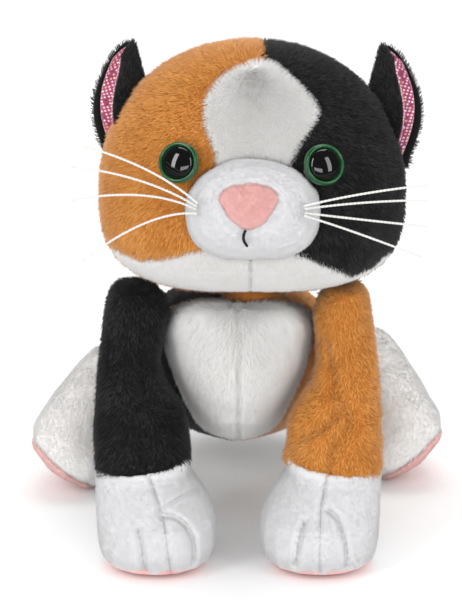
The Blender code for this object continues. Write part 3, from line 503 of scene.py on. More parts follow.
CORD = weave("white_cord", (0.84, 0.83, 0.80), 1400.0, 0.7)
THREAD = weave("black_thread", (0.014, 0.014, 0.014), 1400.0, 0.6)
STITCH = weave("grey_thread", (0.46, 0.45, 0.46), 1400.0, 0.8)
WHISKER_SIDES = 6
MOUTH_SIDES = 8


# Pile --------------------------------------------------------------------------------------------

MOST_TRIANGLES = 190000     # in one piece, fabric and pile together
BENT_TRIANGLES = 10
STRAIGHT_TRIANGLES = 4


def nap(points, normals, way):
    """The nap's direction along the surface at each point."""
    flat = way - np.sum(way * normals, axis=1, keepdims=True) * normals
    return unit(flat)


def strands(roots, normals, way, length, width, lean, bend, stray, clump, tone_count, seed,
            straight=False, patch=13 * MM):
    """Closed spikes with a bend, as points, faces, normals and tone numbers."""
    rng = np.random.default_rng(seed)
    count = len(roots)
    along = nap(roots, normals, way)
    tuft = np.stack([noise(roots, clump, seed + k) for k in range(3)], axis=1)
    loose = rng.normal(size=(count, 3))
    first = unit(normals + along * lean + 0.45 * tuft * stray + 0.35 * loose * stray)
    second = unit(first + along * bend + 0.9 * tuft * stray + 0.45 * loose * stray)
    size = np.asarray(length) * rng.uniform(0.72, 1.12, count)
    side = unit(np.cross(first, unit(rng.normal(size=(count, 3)))))
    other = np.cross(first, side)
    wide = width * rng.uniform(0.8, 1.2, count)
    base = roots - normals * 0.35 * MM
    middle = roots + first * (0.5 * size)[:, None]
    tip = middle + second * (0.5 * size)[:, None]
    rings = []
    turns = [2 * math.pi * k / 3 for k in range(3)]
    for spot, share in ((base, 0.5), (middle, 0.42)):
        for turn in turns:
            rings.append(spot + (side * math.cos(turn) + other * math.sin(turn))
                         * (wide * share)[:, None])
    if straight:
        stack = np.stack(rings[:3] + [tip], axis=1)
        pattern = np.array([(0, 1, 3), (1, 2, 3), (2, 0, 3), (0, 2, 1)])
        quads = np.zeros((0, 4), np.int64)
    else:
        stack = np.stack(rings + [tip], axis=1)
        pattern = np.array([(3, 4, 6), (4, 5, 6), (5, 3, 6), (0, 2, 1)])
        quads = np.array([(0, 1, 4, 3), (1, 2, 5, 4), (2, 0, 3, 5)])
    each = stack.shape[1]
    offsets = (np.arange(count) * each)[:, None, None]
    triangle_faces = (pattern[None] + offsets).reshape(-1, 3)
    quad_faces = (quads[None] + offsets).reshape(-1, 4)
    blur = noise(roots, patch, seed + 11) * 0.55 + noise(roots, 2.2 * MM, seed + 12) * 0.35
    pick = (0.5 + 0.42 * blur + 0.22 * rng.normal(size=count)) * tone_count
    tone = np.clip(pick.astype(int), 0, tone_count - 1)
    outward = np.repeat(normals[:, None, :], each, axis=1)
    radial = unit(stack - stack.mean(axis=1, keepdims=True))
    shading = unit(outward * 0.8 + radial * 0.45)
    return (stack.reshape(-1, 3), triangle_faces, quad_faces, shading.reshape(-1, 3),
            np.repeat(tone, len(pattern)), np.repeat(tone, len(quads)))


def sample(points, faces, keep, density, seed):
    """Even random points over the kept faces: position, face corner weights."""
    rng = np.random.default_rng(seed)
    chosen = faces[keep]
    corners = np.concatenate([chosen[:, [0, 1, 2]], chosen[:, [0, 2, 3]]])
    a, b, c = (points[corners[:, k]] for k in range(3))
    area = 0.5 * np.linalg.norm(np.cross(b - a, c - a), axis=1)
    total = area.sum()
    count = max(1, int(total * density * 1e6))
    order = np.argsort(noise((a + b + c) / 3, 4 * MM, seed), kind="stable")
    edge = np.cumsum(area[order])
    at = (np.arange(count) + rng.uniform(size=count)) / count * total
    pick = order[np.minimum(np.searchsorted(edge, at), len(order) - 1)]
    u, v = rng.uniform(size=count), rng.uniform(size=count)
    flip = u + v > 1
    u, v = np.where(flip, 1 - u, u), np.where(flip, 1 - v, v)
    weights = np.stack([1 - u - v, u, v], axis=1)
    return corners[pick], weights


def blended(values, corners, weights):
    """Values at sampled points."""
    return np.sum(values[corners] * weights[:, :, None], axis=1)


def furred(name, points, faces, outer, materials, length, width, density, way, seed,
           lean=0.6, bend=0.5, stray=0.35, clump=1.6 * MM, root_shade_tone=0, straight=False,
           keep=None, scale=None):
    """One panel with its pile, as one object: slot 0 is the panel, in the darkest tone as painted shade
    under the pile, and the rest are its tones.
    """
    normals = vertex_normals(points, faces)
    use = outer[faces].all(axis=1)
    corners, weights = sample(points, faces, use, density, seed)
    roots = blended(points, corners, weights)
    facing = unit(blended(normals, corners, weights))
    if keep is not None:
        held = keep(roots)
        roots, facing = roots[held], facing[held]
    each = STRAIGHT_TRIANGLES if straight else BENT_TRIANGLES
    most = (MOST_TRIANGLES - 2 * len(faces)) // each
    if len(roots) > most:
        thinned = np.linspace(0, len(roots) - 1, most).astype(int)
        width *= math.sqrt(len(roots) / most)
        roots, facing = roots[thinned], facing[thinned]
    size = np.full(len(roots), length)
    if scale is not None:
        size = size * scale(roots)
    direction = way(roots) if callable(way) else np.tile(np.array(way, float), (len(roots), 1))
    made = strands(roots, facing, direction, size, width, lean, bend, stray, clump,
                   len(materials), seed, straight)
    hair, triangles, quads, shading, tone_t, tone_q = made
    hair[:, 2] = np.maximum(hair[:, 2], 0.1 * MM)
    start = len(points)
    everything = np.concatenate([points, hair])
    face_lists = [faces]
    # Painted shade: the panel under the pile takes the darkest tone, standing in for the shade among the
    # strands' roots
    slots = [np.full(len(faces), root_shade_tone)]
    if len(quads):
        face_lists.append(quads + start)
        slots.append(tone_q)
    face_lists.append(triangles + start)
    slots.append(tone_t)
    mesh = new_mesh(name, everything, face_lists, np.concatenate(slots))
    obj = put(name, mesh, materials)
    mesh.normals_split_custom_set_from_vertices(np.concatenate([normals, shading]).tolist())
    return obj


def facing_out(points, faces, core, centre):
    """Which vertices are on the outside: they face away from the centre, or miss the stuffing."""
    normals = vertex_normals(points, faces)
    result = np.ones(len(points), bool)
    for k, (point, normal) in enumerate(zip(points, normals)):
        ray = Vector(normal)
        hit, wall = core.ray_cast(Vector(point) + ray * 0.05 * MM, ray, 3.5 * MM)[:2]
        result[k] = hit is None or wall.dot(ray) > 0.0
    return result | (np.sum(normals * unit(points - np.array(centre)), axis=1) > 0.5)


def ease(value, start, end):
    """A smooth step from 0 at start to 1 at end."""
    t = np.clip((value - start) / (end - start), 0.0, 1.0)
    return t * t * (3 - 2 * t)


def panel(node_name, skin, inset, voxel=PANEL_VOXEL, smooth=3, swell=0.5 * MM, lower=None):
    """A CAD panel remeshed and drawn onto the skin: points, quads, and which points are outside.

    It swells a little first, so that it meets the panel beyond its seam. A sleeve's lower end
    follows a second skin.
    """
    points, triangles = arrays(NODES[node_name])
    points, faces = applied(node_name + "_copy", points, triangles,
                            ("REMESH", {"mode": "VOXEL", "voxel_size": voxel}),
                            ("SMOOTH", {"factor": 0.5, "iterations": smooth}))
    outer = np.ones(len(points), bool)
    if skin is not None:
        outer = facing_out(points, faces, skin.core, skin.centre)
    points = points + vertex_normals(points, faces) * swell
    if skin is not None:
        drawn = skin.place(points, inset + swell)
        if lower is not None:
            share = ease(points[:, 2], 46 * MM, 70 * MM)[:, None]
            drawn = drawn * share + lower.place(points, 0.9 * inset + swell) * (1 - share)
        points = drawn
    points[:, 2] = np.maximum(points[:, 2], 0.05 * MM)
    return points, faces, outer


# Cords, turned pieces and stitches ---------------------------------------------------------------

def curve(knots, step):
    """A smooth line through a few points, at an even step."""
    knots = np.array(knots, float)
    padded = np.concatenate([[2 * knots[0] - knots[1]], knots, [2 * knots[-1] - knots[-2]]])
    pieces = []
    for a, b, c, d in zip(padded, padded[1:], padded[2:], padded[3:]):
        count = max(2, int(np.linalg.norm(c - b) / step))
        t = np.linspace(0.0, 1.0, count, endpoint=False)[:, None]
        pieces.append(0.5 * (2 * b + (c - a) * t + (2 * a - 5 * b + 4 * c - d) * t ** 2
                             + (3 * b - a - 3 * c + d) * t ** 3))
    return np.concatenate(pieces + [knots[-1:]])


def centreline(node_name, sides, axis):
    """The middle line of a CAD cord, from the rings of its mesh."""
    points = np.unique(np.round(arrays(NODES[node_name])[0], 7), axis=0)
    points = points[np.argsort(points[:, axis])]
    rings = points[:len(points) // sides * sides].reshape(-1, sides, 3)
    return rings.mean(axis=1)


def rope(path, radius, sides=10, plies=2, pitch=3.0 * MM, groove=0.22, start=0):
    """A twisted cord along a line: points, quads and end triangles."""
    tangent = unit(np.gradient(path, axis=0))
    travelled = np.concatenate([[0], np.cumsum(np.linalg.norm(np.diff(path, axis=0), axis=1))])
    side = unit(np.cross(tangent, np.array([0.11, 0.23, 1.0])))
    other = np.cross(tangent, side)
    angle = np.linspace(0.0, 2 * math.pi, sides, endpoint=False)[None]
    twist = (2 * math.pi * travelled / pitch)[:, None]
    ends = np.minimum(travelled, travelled[-1] - travelled) / radius
    round_off = np.sqrt(np.clip(1.0 - (1.0 - np.minimum(ends, 1.0)) ** 2, 0.15, 1.0))[:, None]
    wide = radius * round_off * (1 - groove + groove * np.cos(plies * (angle - twist)))
    rings = (path[:, None] + side[:, None] * (wide * np.cos(angle))[..., None]
             + other[:, None] * (wide * np.sin(angle))[..., None])
    count = len(path)
    points = np.concatenate([rings.reshape(-1, 3), path[:1], path[-1:]])
    at = np.arange(count * sides).reshape(count, sides) + start
    turned = np.roll(at, -1, axis=1)
    quads = np.stack([at[:-1], turned[:-1], turned[1:], at[1:]], axis=-1).reshape(-1, 4)
    first, last = start + count * sides, start + count * sides + 1
    caps = [(first, b, a) for a, b in zip(at[0], turned[0])]
    caps += [(last, a, b) for a, b in zip(at[-1], turned[-1])]
    return points, quads, np.array(caps)


def cords(name, paths, radius, material, **settings):
    """Several cords as one object."""
    all_points, all_quads, all_caps, start = [], [], [], 0
    for path in paths:
        points, quads, caps = rope(path, radius, start=start, **settings)
        all_points.append(points)
        all_quads.append(quads)
        all_caps.append(caps)
        start += len(points)
    mesh = new_mesh(name, np.concatenate(all_points), [np.concatenate(all_quads),
                                                       np.concatenate(all_caps)])
    return put(name, mesh, [material])


def stitches(line, length, gap):
    """A line cut into stitches."""
    travelled = np.concatenate([[0], np.cumsum(np.linalg.norm(np.diff(line, axis=0), axis=1))])
    pieces, at = [], 0.0
    while at + length < travelled[-1]:
        spots = np.linspace(at, at + length, 7)
        pieces.append(np.stack([np.interp(spots, travelled, line[:, k]) for k in range(3)], axis=1))
        at += length + gap
    return pieces


def lathe(name, profile, centre, axis, material, closed, sides=72):
    """A body turned about an axis from (radius, height) points: a ring, or a solid with poles."""
    profile = np.array(profile)
    axis = unit(np.array(axis))
    side = unit(np.cross(axis, np.array([0.0, 0.0, 1.0])))
    other = np.cross(axis, side)
    angle = np.linspace(0.0, 2 * math.pi, sides, endpoint=False)
    spoke = side[None] * np.cos(angle)[:, None] + other[None] * np.sin(angle)[:, None]
    inner = profile if closed else profile[1:-1]
    rings = centre + inner[:, None, :1] * spoke[None] + inner[:, None, 1:] * axis
    at = np.arange(len(inner) * sides).reshape(len(inner), sides)
    turned = np.roll(at, -1, axis=1)
    below = np.roll(at, -1, axis=0) if closed else at[1:]
    below_turned = np.roll(turned, -1, axis=0) if closed else turned[1:]
    rows = len(below)
    quads = np.stack([at[:rows], below, below_turned, turned[:rows]], axis=-1).reshape(-1, 4)
    points = rings.reshape(-1, 3)
    faces = [quads]
    if not closed:
        poles = centre + profile[[0, -1], 1:] * axis
        top, bottom = len(points), len(points) + 1
        points = np.concatenate([points, poles])
        caps = [(top, a, b) for a, b in zip(at[0], turned[0])]
        caps += [(bottom, b, a) for a, b in zip(at[-1], turned[-1])]
        faces.append(np.array(caps))
    return put(name, new_mesh(name, points, faces), [material])


def line_distance(points, lines):
    """How far each point is from the nearest of a few lines."""
    nearest = np.full(len(points), 1.0)
    for line in lines:
        for spot in line:
            np.minimum(nearest, np.linalg.norm(points - spot, axis=1), out=nearest)
    return nearest


def outward(points, faces, outer):
    """Normals that point outward on both walls, so that the two walls move together."""
    return vertex_normals(points, faces) * np.where(outer, 1.0, -1.0)[:, None]


def creased(points, faces, lines, depth, width, outer):
    """Points pressed in along a few lines."""
    if not lines:
        return points
    near = line_distance(points, lines)
    press = depth * np.exp(-(near / width) ** 2)
    return points - outward(points, faces, outer) * press[:, None]


def front_line(search, middle_x, outline, step=0.5 * MM, lift=0.0):
    """An outline in (x from the middle, height), in millimetres, laid on a surface's front."""
    flat = [(middle_x + x * MM, 0.0, z * MM) for x, z in outline]
    spots = []
    for x, _, z in curve(flat, step):
        spot, normal, _, _ = search.ray_cast(Vector((x, -0.3, z)), Vector((0.0, 1.0, 0.0)))
        if spot is not None:
            spots.append(np.array(spot + normal * lift))
    return np.array(spots)


# Units -------------------------------------------------------------------------------------------

HEAD_PANELS = ["face_panel_orange", "face_panel_black", "forehead_blaze", "chin_panel_left",
               "chin_panel_right", "back_of_head_left", "back_of_head_right"]
TORSO_PANELS = ["chest_panel_left", "chest_panel_right", "side_panel_left", "side_panel_right",
                "belly_panel"]

DOWN = (0.0, 0.0, -1.0)
SLEEVE_CENTRE = (36.0 * MM, -62.0 * MM, 62.0 * MM)
PAW_CENTRE = (32.3 * MM, -82.0 * MM, 19.0 * MM)

head_skin = Skin("head", HEAD_PANELS, ["head_stuffing"], 2.6 * MM)
torso_skin = Skin("torso", TORSO_PANELS, ["body_stuffing", "pellet_bag"], 3.4 * MM,
                  rounds=14)
muzzle_skin = Skin("muzzle", ["muzzle_cover", "nose_patch"], ["muzzle_stuffing"], 1.9 * MM,
                   rounds=8, puff=0.5 * MM)


def leg_skin(side, name, centre):
    """A skin round a front leg, seen from one of its two middles."""
    sign = 1.0 if side == "left" else -1.0
    return Skin(name + side, ["front_leg_sleeve_" + side, "front_paw_cover_" + side,
                              "front_paw_sole_" + side], ["front_leg_stuffing_" + side],
                2.6 * MM, rounds=6, centre=(sign * centre[0], centre[1], centre[2]))


sleeve_skins = {s: leg_skin(s, "sleeve_", SLEEVE_CENTRE) for s in SIDES}
paw_skins = {s: leg_skin(s, "paw_", PAW_CENTRE) for s in SIDES}
hind_skins = {s: Skin("hind_leg_" + s, ["hind_leg_cover_" + s, "hind_paw_sole_" + s],
                      ["hind_leg_stuffing_" + s], 3.6 * MM, rounds=16) for s in SIDES}

HEAD_MIDDLE = head_skin.centre


def head_nap(points):
    """The head's pile runs down from the crown and back from the nose."""
    away = points - (HEAD_MIDDLE + np.array([0.0, -0.05, 0.03]))
    return 0.45 * unit(away) + np.array([0.0, 0.0, -1.0])


THROAT = np.array([2.0, -65.3, 128.0]) * MM
CHEST_UP = 6.0 * MM


def chest_nap(points):
    """The chest's pile fans down and outward from the throat."""
    away = points - THROAT
    return unit(away) + np.array([0.0, 0.0, -0.35])


def chest_length(points):
    """The chest's pile is longest below the throat."""
    return 1.0 + 0.5 * np.exp(-((points[:, 2] - 90 * MM) / (9 * MM)) ** 2)


def head_panels():
    """The head's seven fur panels."""
    for k, (name, tone, length, density) in enumerate((
            ("face_panel_orange", ORANGE, 3.0, 3.6), ("face_panel_black", BLACK, 2.9, 3.2),
            ("forehead_blaze", WHITE, 3.0, 13.0), ("chin_panel_left", WHITE, 2.7, 12.0),
            ("chin_panel_right", WHITE, 2.7, 12.0), ("back_of_head_left", BLACK, 3.0, 2.0),
            ("back_of_head_right", ORANGE, 3.2, 2.0))):
        points, faces, outer = panel(name, head_skin, 2.3 * MM)
        fine = tone is WHITE
        made = furred(name + "_fur", points, faces, outer, tone, length * MM,
                      (0.24 if fine else 0.34) * MM, density, head_nap, 40 + 20 * k,
                      stray=0.13 if fine else 0.3, straight=fine)
        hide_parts(name)
        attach(made, "head")


def torso_panels():
    """The chest, sides and belly."""
    for k, (name, tone, length, density) in enumerate((
            ("chest_panel_left", CREAM, 4.0, 11.0), ("chest_panel_right", CREAM, 4.0, 11.0),
            ("side_panel_left", ORANGE, 3.2, 1.8), ("side_panel_right", BLACK, 3.2, 1.8),
            ("belly_panel", WHITE, 3.0, 1.2))):
        chest = "chest" in name
        points, faces, outer = panel(name, torso_skin, 1.8 * MM, swell=(0.8 if chest else 0.5) * MM)
        if chest:
            front = 1 - ease(points[:, 1], -67 * MM, -56 * MM)
            points[:, 2] += CHEST_UP * front * ease(points[:, 2], 78 * MM, 95 * MM)
        made = furred(name + "_fur", points, faces, outer, tone, length * MM,
                      (0.25 if chest else 0.36) * MM, density,
                      chest_nap if chest else DOWN, 200 + 20 * k, lean=0.9, bend=0.7,
                      stray=0.16 if chest else 0.35, straight=chest,
                      scale=chest_length if chest else None)
        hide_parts(name)
        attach(made, "torso")


# Paw seams as (x from the paw's middle, height) in millimetres
PAW_SEAMS = {
    "right": {"centre": ((-3.0, 38.0), (2.2, 27.0), (4.7, 18.4), (6.4, 3.0)),
              "toe_in": ((3.0, 25.4), (7.6, 24.4), (11.1, 22.5), (14.2, 19.0), (15.7, 14.0),
                         (15.7, 7.0)),
              "toe_out": ((-6.1, 21.0), (-4.9, 14.5), (-3.5, 4.0)),
              "cross": ((2.2, 27.0), (9.8, 29.0), (17.4, 28.6))},
    "left": {"centre": ((2.4, 38.5), (0.8, 31.8), (-0.5, 26.3), (-1.1, 16.7), (-0.9, 3.0)),
             "toe_in": ((-7.1, 23.0), (-9.1, 17.0), (-10.6, 7.0)),
             "toe_out": ((2.2, 26.7), (5.6, 24.6), (7.4, 21.4), (9.3, 15.3), (9.8, 6.0))},
}
# Folds of the sleeves, in the same way
SLEEVE_FOLDS = {
    "left": (((-2.9, 78.7), (-1.8, 74.5), (0.4, 66.2), (2.6, 61.3)),
             ((2.6, 61.3), (-2.4, 55.6), (-9.0, 51.4), (-13.6, 49.0)),
             ((3.8, 62.3), (6.5, 57.6), (4.9, 52.7), (1.8, 50.0)),
             ((-2.1, 40.6), (-0.5, 45.6), (1.0, 50.0))),
    "right": (((-0.7, 82.7), (0.1, 72.0), (1.3, 62.0)), ((11.7, 57.7), (3.3, 61.8)),
              ((1.4, 39.6), (1.8, 46.3), (0.2, 55.4))),
}


def middle_x(node_name):
    """The x of a node's middle."""
    low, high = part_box(node_name)
    return (low[0] + high[0]) / 2


# The shoulder's top reaches in over the chest and up under the head
SHOULDER_IN = {"left": 8.0 * MM, "right": 15.0 * MM}
SHOULDER_UP = 6.5 * MM
HEM_DROP = 1.2 * MM


def sole_band(points, faces, side):
    """Slots for a paw cover: its lowest band is the sole's turned-up edge, notched at the toes."""
    centre = points[faces].mean(axis=1)
    x = (centre[:, 0] - middle_x("front_paw_cover_" + side)) / MM
    edge = 4.6 + 1.1 * np.cos(x / 4.2) - 3.2 * np.exp(-(x / 2.2) ** 2)
    front = (centre[:, 1] < -86 * MM) & (np.abs(x) < 19.0)
    height = centre[:, 2] / MM
    return ((height > 0.7) & (height < edge) & front).astype(int)


def front_leg(side):
    """A sleeve of fur, and a velboa paw with its seams, toe stitches and sole."""
    body = "front_leg_" + side
    sign = 1.0 if side == "left" else -1.0
    seed = 400 if side == "left" else 500
    name = "front_leg_sleeve_" + side
    points, faces, outer = panel(name, sleeve_skins[side], 1.9 * MM, lower=paw_skins[side])
    search = tree(points, faces)
    folds = [front_line(search, middle_x(name), fold) for fold in SLEEVE_FOLDS[side]]
    ragged = side == "left"
    low = np.clip((66 * MM - points[:, 2]) / (12 * MM), 0.0, 1.0) * (1.3 if ragged else 0.5)
    bunched = noise(points * np.array([1.0, 1.0, 1.6]), 10 * MM, seed) * low * MM
    points = points + outward(points, faces, outer) * bunched[:, None]
    points = creased(points, faces, folds, 2.4 * MM, 2.6 * MM, outer)
    points[:, 2] -= HEM_DROP * (1 - ease(points[:, 2], 38 * MM, 52 * MM))
    rise = ease(points[:, 2], 60 * MM, 98 * MM)
    inward = np.clip((46 * MM - sign * points[:, 0]) / (20 * MM), 0.0, 1.0)
    points[:, 0] -= sign * rise ** 2 * inward * SHOULDER_IN[side]
    points[:, 2] += rise * SHOULDER_UP

    made = furred(name + "_fur", points, faces, outer, ORANGE if ragged else BLACK, 2.9 * MM,
                  0.36 * MM, 3.2, DOWN, seed, lean=0.8, stray=0.55 if ragged else 0.35,
                  clump=2.4 * MM if ragged else 1.6 * MM)
    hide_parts(name)
    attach(made, body)

    name = "front_paw_cover_" + side
    points, faces, outer = panel(name, paw_skins[side], 0.4 * MM, voxel=0.8 * MM, smooth=6)
    search = tree(points, faces)
    seams = [front_line(search, middle_x(name), line) for line in PAW_SEAMS[side].values()]
    toes = (seams[1][len(seams[1]) // 2] + seams[2][len(seams[2]) // 2]) / 2
    points = creased(points, faces, [toes[None]], -1.3 * MM, 6.5 * MM, outer)
    points = creased(points, faces, seams[1:3], 1.6 * MM, 1.5 * MM, outer)
    points = creased(points, faces, seams[:1], 1.1 * MM, 1.1 * MM, outer)
    points = creased(points, faces, seams[3:], 0.4 * MM, 1.0 * MM, outer)
    points[:, 2] = np.maximum(points[:, 2], 0.05 * MM)
    made = put(name + "_fabric", new_mesh(name, points, [faces], sole_band(points, faces, side)),
               [PAW, PINK])
    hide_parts(name)
    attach(made, body)
    low_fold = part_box("front_leg_sleeve_" + side)[0][2]
    fuzz(name + "_fuzz", points, faces, outer, PAW_FUZZ, body, seed + 1,
         keep=lambda roots: (roots[:, 2] < low_fold) & (roots[:, 2] > 4.5 * MM))
    search = tree(points, faces)
    threads = []
    for line in PAW_SEAMS[side].values():
        laid = front_line(search, middle_x(name), line, lift=0.05 * MM)
        threads += stitches(laid, 2.6 * MM, 0.5 * MM)
    sewn = cords("front_paw_stitches_" + side, threads, 0.11 * MM, STITCH, sides=6, pitch=1.0 * MM)
    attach(sewn, body)

    name = "front_paw_sole_" + side
    points, faces, outer = panel(name, paw_skins[side], 0.4 * MM)
    made = put(name + "_fabric", new_mesh(name, points, [faces]), [PINK])
    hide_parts(name)
    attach(made, body)


def fuzz(name, points, faces, outer, tones, body, seed, length=0.9 * MM, density=5.0, keep=None,
         width=0.28 * MM):
    """The short pile of a velboa piece, as its own object over the fabric."""
    normals = vertex_normals(points, faces)
    corners, weights = sample(points, faces, outer[faces].all(axis=1), density, seed)
    roots = blended(points, corners, weights)
    facing = unit(blended(normals, corners, weights))
    if keep is not None:
        held = keep(roots)
        roots, facing = roots[held], facing[held]
    way = np.tile(np.array(DOWN), (len(roots), 1))
    hair, triangles, _, shading, tone, _ = strands(roots, facing, way, np.full(len(roots), length),
                                                   width, 0.5, 0.3, 0.5, 1.2 * MM, len(tones),
                                                   seed, straight=True)
    hair[:, 2] = np.maximum(hair[:, 2], 0.1 * MM)
    mesh = new_mesh(name, hair, [triangles], tone)
    made = put(name, mesh, tones)
    mesh.normals_split_custom_set_from_vertices(shading.tolist())
    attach(made, body)


def hind_leg(side):
    """The haunch and hind paw, and its pink sole."""
    skin = hind_skins[side]
    body = "hind_leg_" + side
    seed = 600 if side == "left" else 640
    name = "hind_leg_cover_" + side
    points, faces, outer = panel(name, skin, 1.4 * MM)
    made = furred(name + "_fur", points, faces, outer, HAUNCH, 1.7 * MM, 0.26 * MM, 6.0,
                  (0.0, -0.6, -0.8), seed, lean=0.8, stray=0.16, straight=True)
    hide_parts(name)
    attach(made, body)
    name = "hind_paw_sole_" + side
    points, faces, outer = panel(name, skin, 0.2 * MM, voxel=1.0 * MM)
    made = put(name + "_fabric", new_mesh(name, points, [faces]), [PINK])
    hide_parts(name)
    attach(made, body)
    fuzz(name + "_fuzz", points, faces, outer, PINK_FUZZ, body, seed + 1)


def narrowed(points):
    """The muzzle's top drawn in, so that its outline is round."""
    middle = muzzle_skin.centre
    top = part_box("muzzle_cover")[1][2]
    height = np.clip((points[:, 2] - middle[2]) / (top - middle[2]), 0.0, 1.0)
    points[:, 0] = middle[0] + (points[:, 0] - middle[0]) * (1 - 0.15 * height ** 2)
    return points


def rounded(points):
    """The nose's three corners drawn in and its sides swelled out."""
    low, high = (np.array(c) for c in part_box("nose_patch"))
    middle = (low + high) / 2
    flat = points[:, [0, 2]] - middle[[0, 2]]
    turn = np.arctan2(flat[:, 1], flat[:, 0])
    flat = flat * (1 - 0.06 * np.cos(3 * (turn - math.radians(30.0))))[:, None]
    points[:, [0, 2]] = flat + middle[[0, 2]]
    return points


WHISKER_NAMES = [f"whisker_{side}_{k}" for side in SIDES for k in range(1, 5)]


def muzzle():
    """The velboa muzzle with its dents, the nose, the mouth stitch and the whiskers."""
    lines = {name: centreline(name, WHISKER_SIDES, 0) for name in WHISKER_NAMES}
    for name in WHISKER_NAMES:
        if "right" in name:
            lines[name] = lines[name][::-1]
    roots = [line[:1] for line in lines.values()]
    points, faces, outer = panel("muzzle_cover", muzzle_skin, 0.2 * MM, voxel=0.9 * MM, smooth=4)
    points = narrowed(points)
    points = creased(points, faces, roots, 0.9 * MM, 3.4 * MM, outer)
    mouth = centreline("mouth_stitch", MOUTH_SIDES, 2)
    mouth = muzzle_skin.place(curve(mouth, 0.4 * MM))
    points = creased(points, faces, [mouth], 0.7 * MM, 2.2 * MM, outer)
    made = put("muzzle_cover_fabric", new_mesh("muzzle", points, [faces]), [PAW])
    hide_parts("muzzle_cover")
    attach(made, "head")
    fuzz("muzzle_cover_fuzz", points, faces, outer, PAW_FUZZ, "head", 700, density=7.0)

    points, faces, outer = panel("nose_patch", muzzle_skin, -0.45 * MM, voxel=0.7 * MM, smooth=3,
                                 swell=0.8 * MM)
    points = rounded(points)
    made = put("nose_patch_fabric", new_mesh("nose", points, [faces]), [PINK])
    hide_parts("nose_patch")
    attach(made, "head")
    fuzz("nose_patch_fuzz", points, faces, outer, PINK_FUZZ, "head", 720, density=14.0,
         length=1.1 * MM, width=0.32 * MM)

    away = unit(mouth - muzzle_skin.centre)
    sewn = cords("mouth_stitch_thread", [mouth + away * 0.1 * MM], 0.6 * MM, THREAD, sides=12,
                 pitch=2.6 * MM, groove=0.15)
    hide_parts("mouth_stitch")
    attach(sewn, "head")
    for name, line in lines.items():
        made = cords(name + "_cord", [curve(line, 0.35 * MM)], 0.5 * MM, CORD)
        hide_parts(name)
        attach(made, "head")


def eye(side):
    """A glossy green ring round a black domed pupil."""
    disc = np.unique(np.round(arrays(NODES["eye_disc_green_" + side])[0], 7), axis=0)
    centre = disc.mean(axis=0)
    axis = np.linalg.svd(disc - centre)[2][2]
    if axis[1] > 0:
        axis = -axis
    ring = [(7.0 * MM + 0.95 * MM * math.cos(t), 0.5 * MM + 1.9 * MM * math.sin(t))
            for t in np.linspace(0.0, -2 * math.pi, 28, endpoint=False)]
    rim = lathe("eye_rim_" + side, ring, centre, axis, EYE_GREEN, True)
    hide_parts("eye_disc_green_" + side)
    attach(rim, "head")
    reach_out = 6.2 * MM
    dome = [(reach_out * math.sin(t), 1.2 * MM + 2.9 * MM * math.cos(t) ** 0.9)
            for t in np.linspace(0.0, math.radians(86), 16)]
    dome += [(reach_out, -1.0 * MM), (0.0, -1.0 * MM)]
    lens = lathe("eye_lens_" + side, dome, centre, axis, EYE_BLACK, False)
    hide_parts("eye_dome_" + side, "eye_pupil_" + side)
    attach(lens, "head")
    for part in ("eye_post_", "eye_washer_"):
        NODES[part + side].data.materials.clear()
        NODES[part + side].data.materials.append(MOULDED)


HEAD_ORIGIN = Vector((5.5, -43.3, 149.8)) * MM
HEAD_PITCH = math.radians(-18.0)
EAR_ROOT = {"left": Vector((59.8, 4.0, 2.5)) * MM, "right": Vector((-55.5, 4.0, 4.0)) * MM}
EAR_TALL = 46.0 * MM
EAR_ROWS = 44
EAR_COLUMNS = 40
EAR_WIDE = 10.0 * MM
EAR_CUP = 25.0 * MM
EAR_LEAN = math.radians(-4.0)
EAR_TURN = math.radians(61.0)
EAR_BOW = 4.5 * MM
EAR_ROUND = 0.14         # how much lower the rim is at the opening than at the back


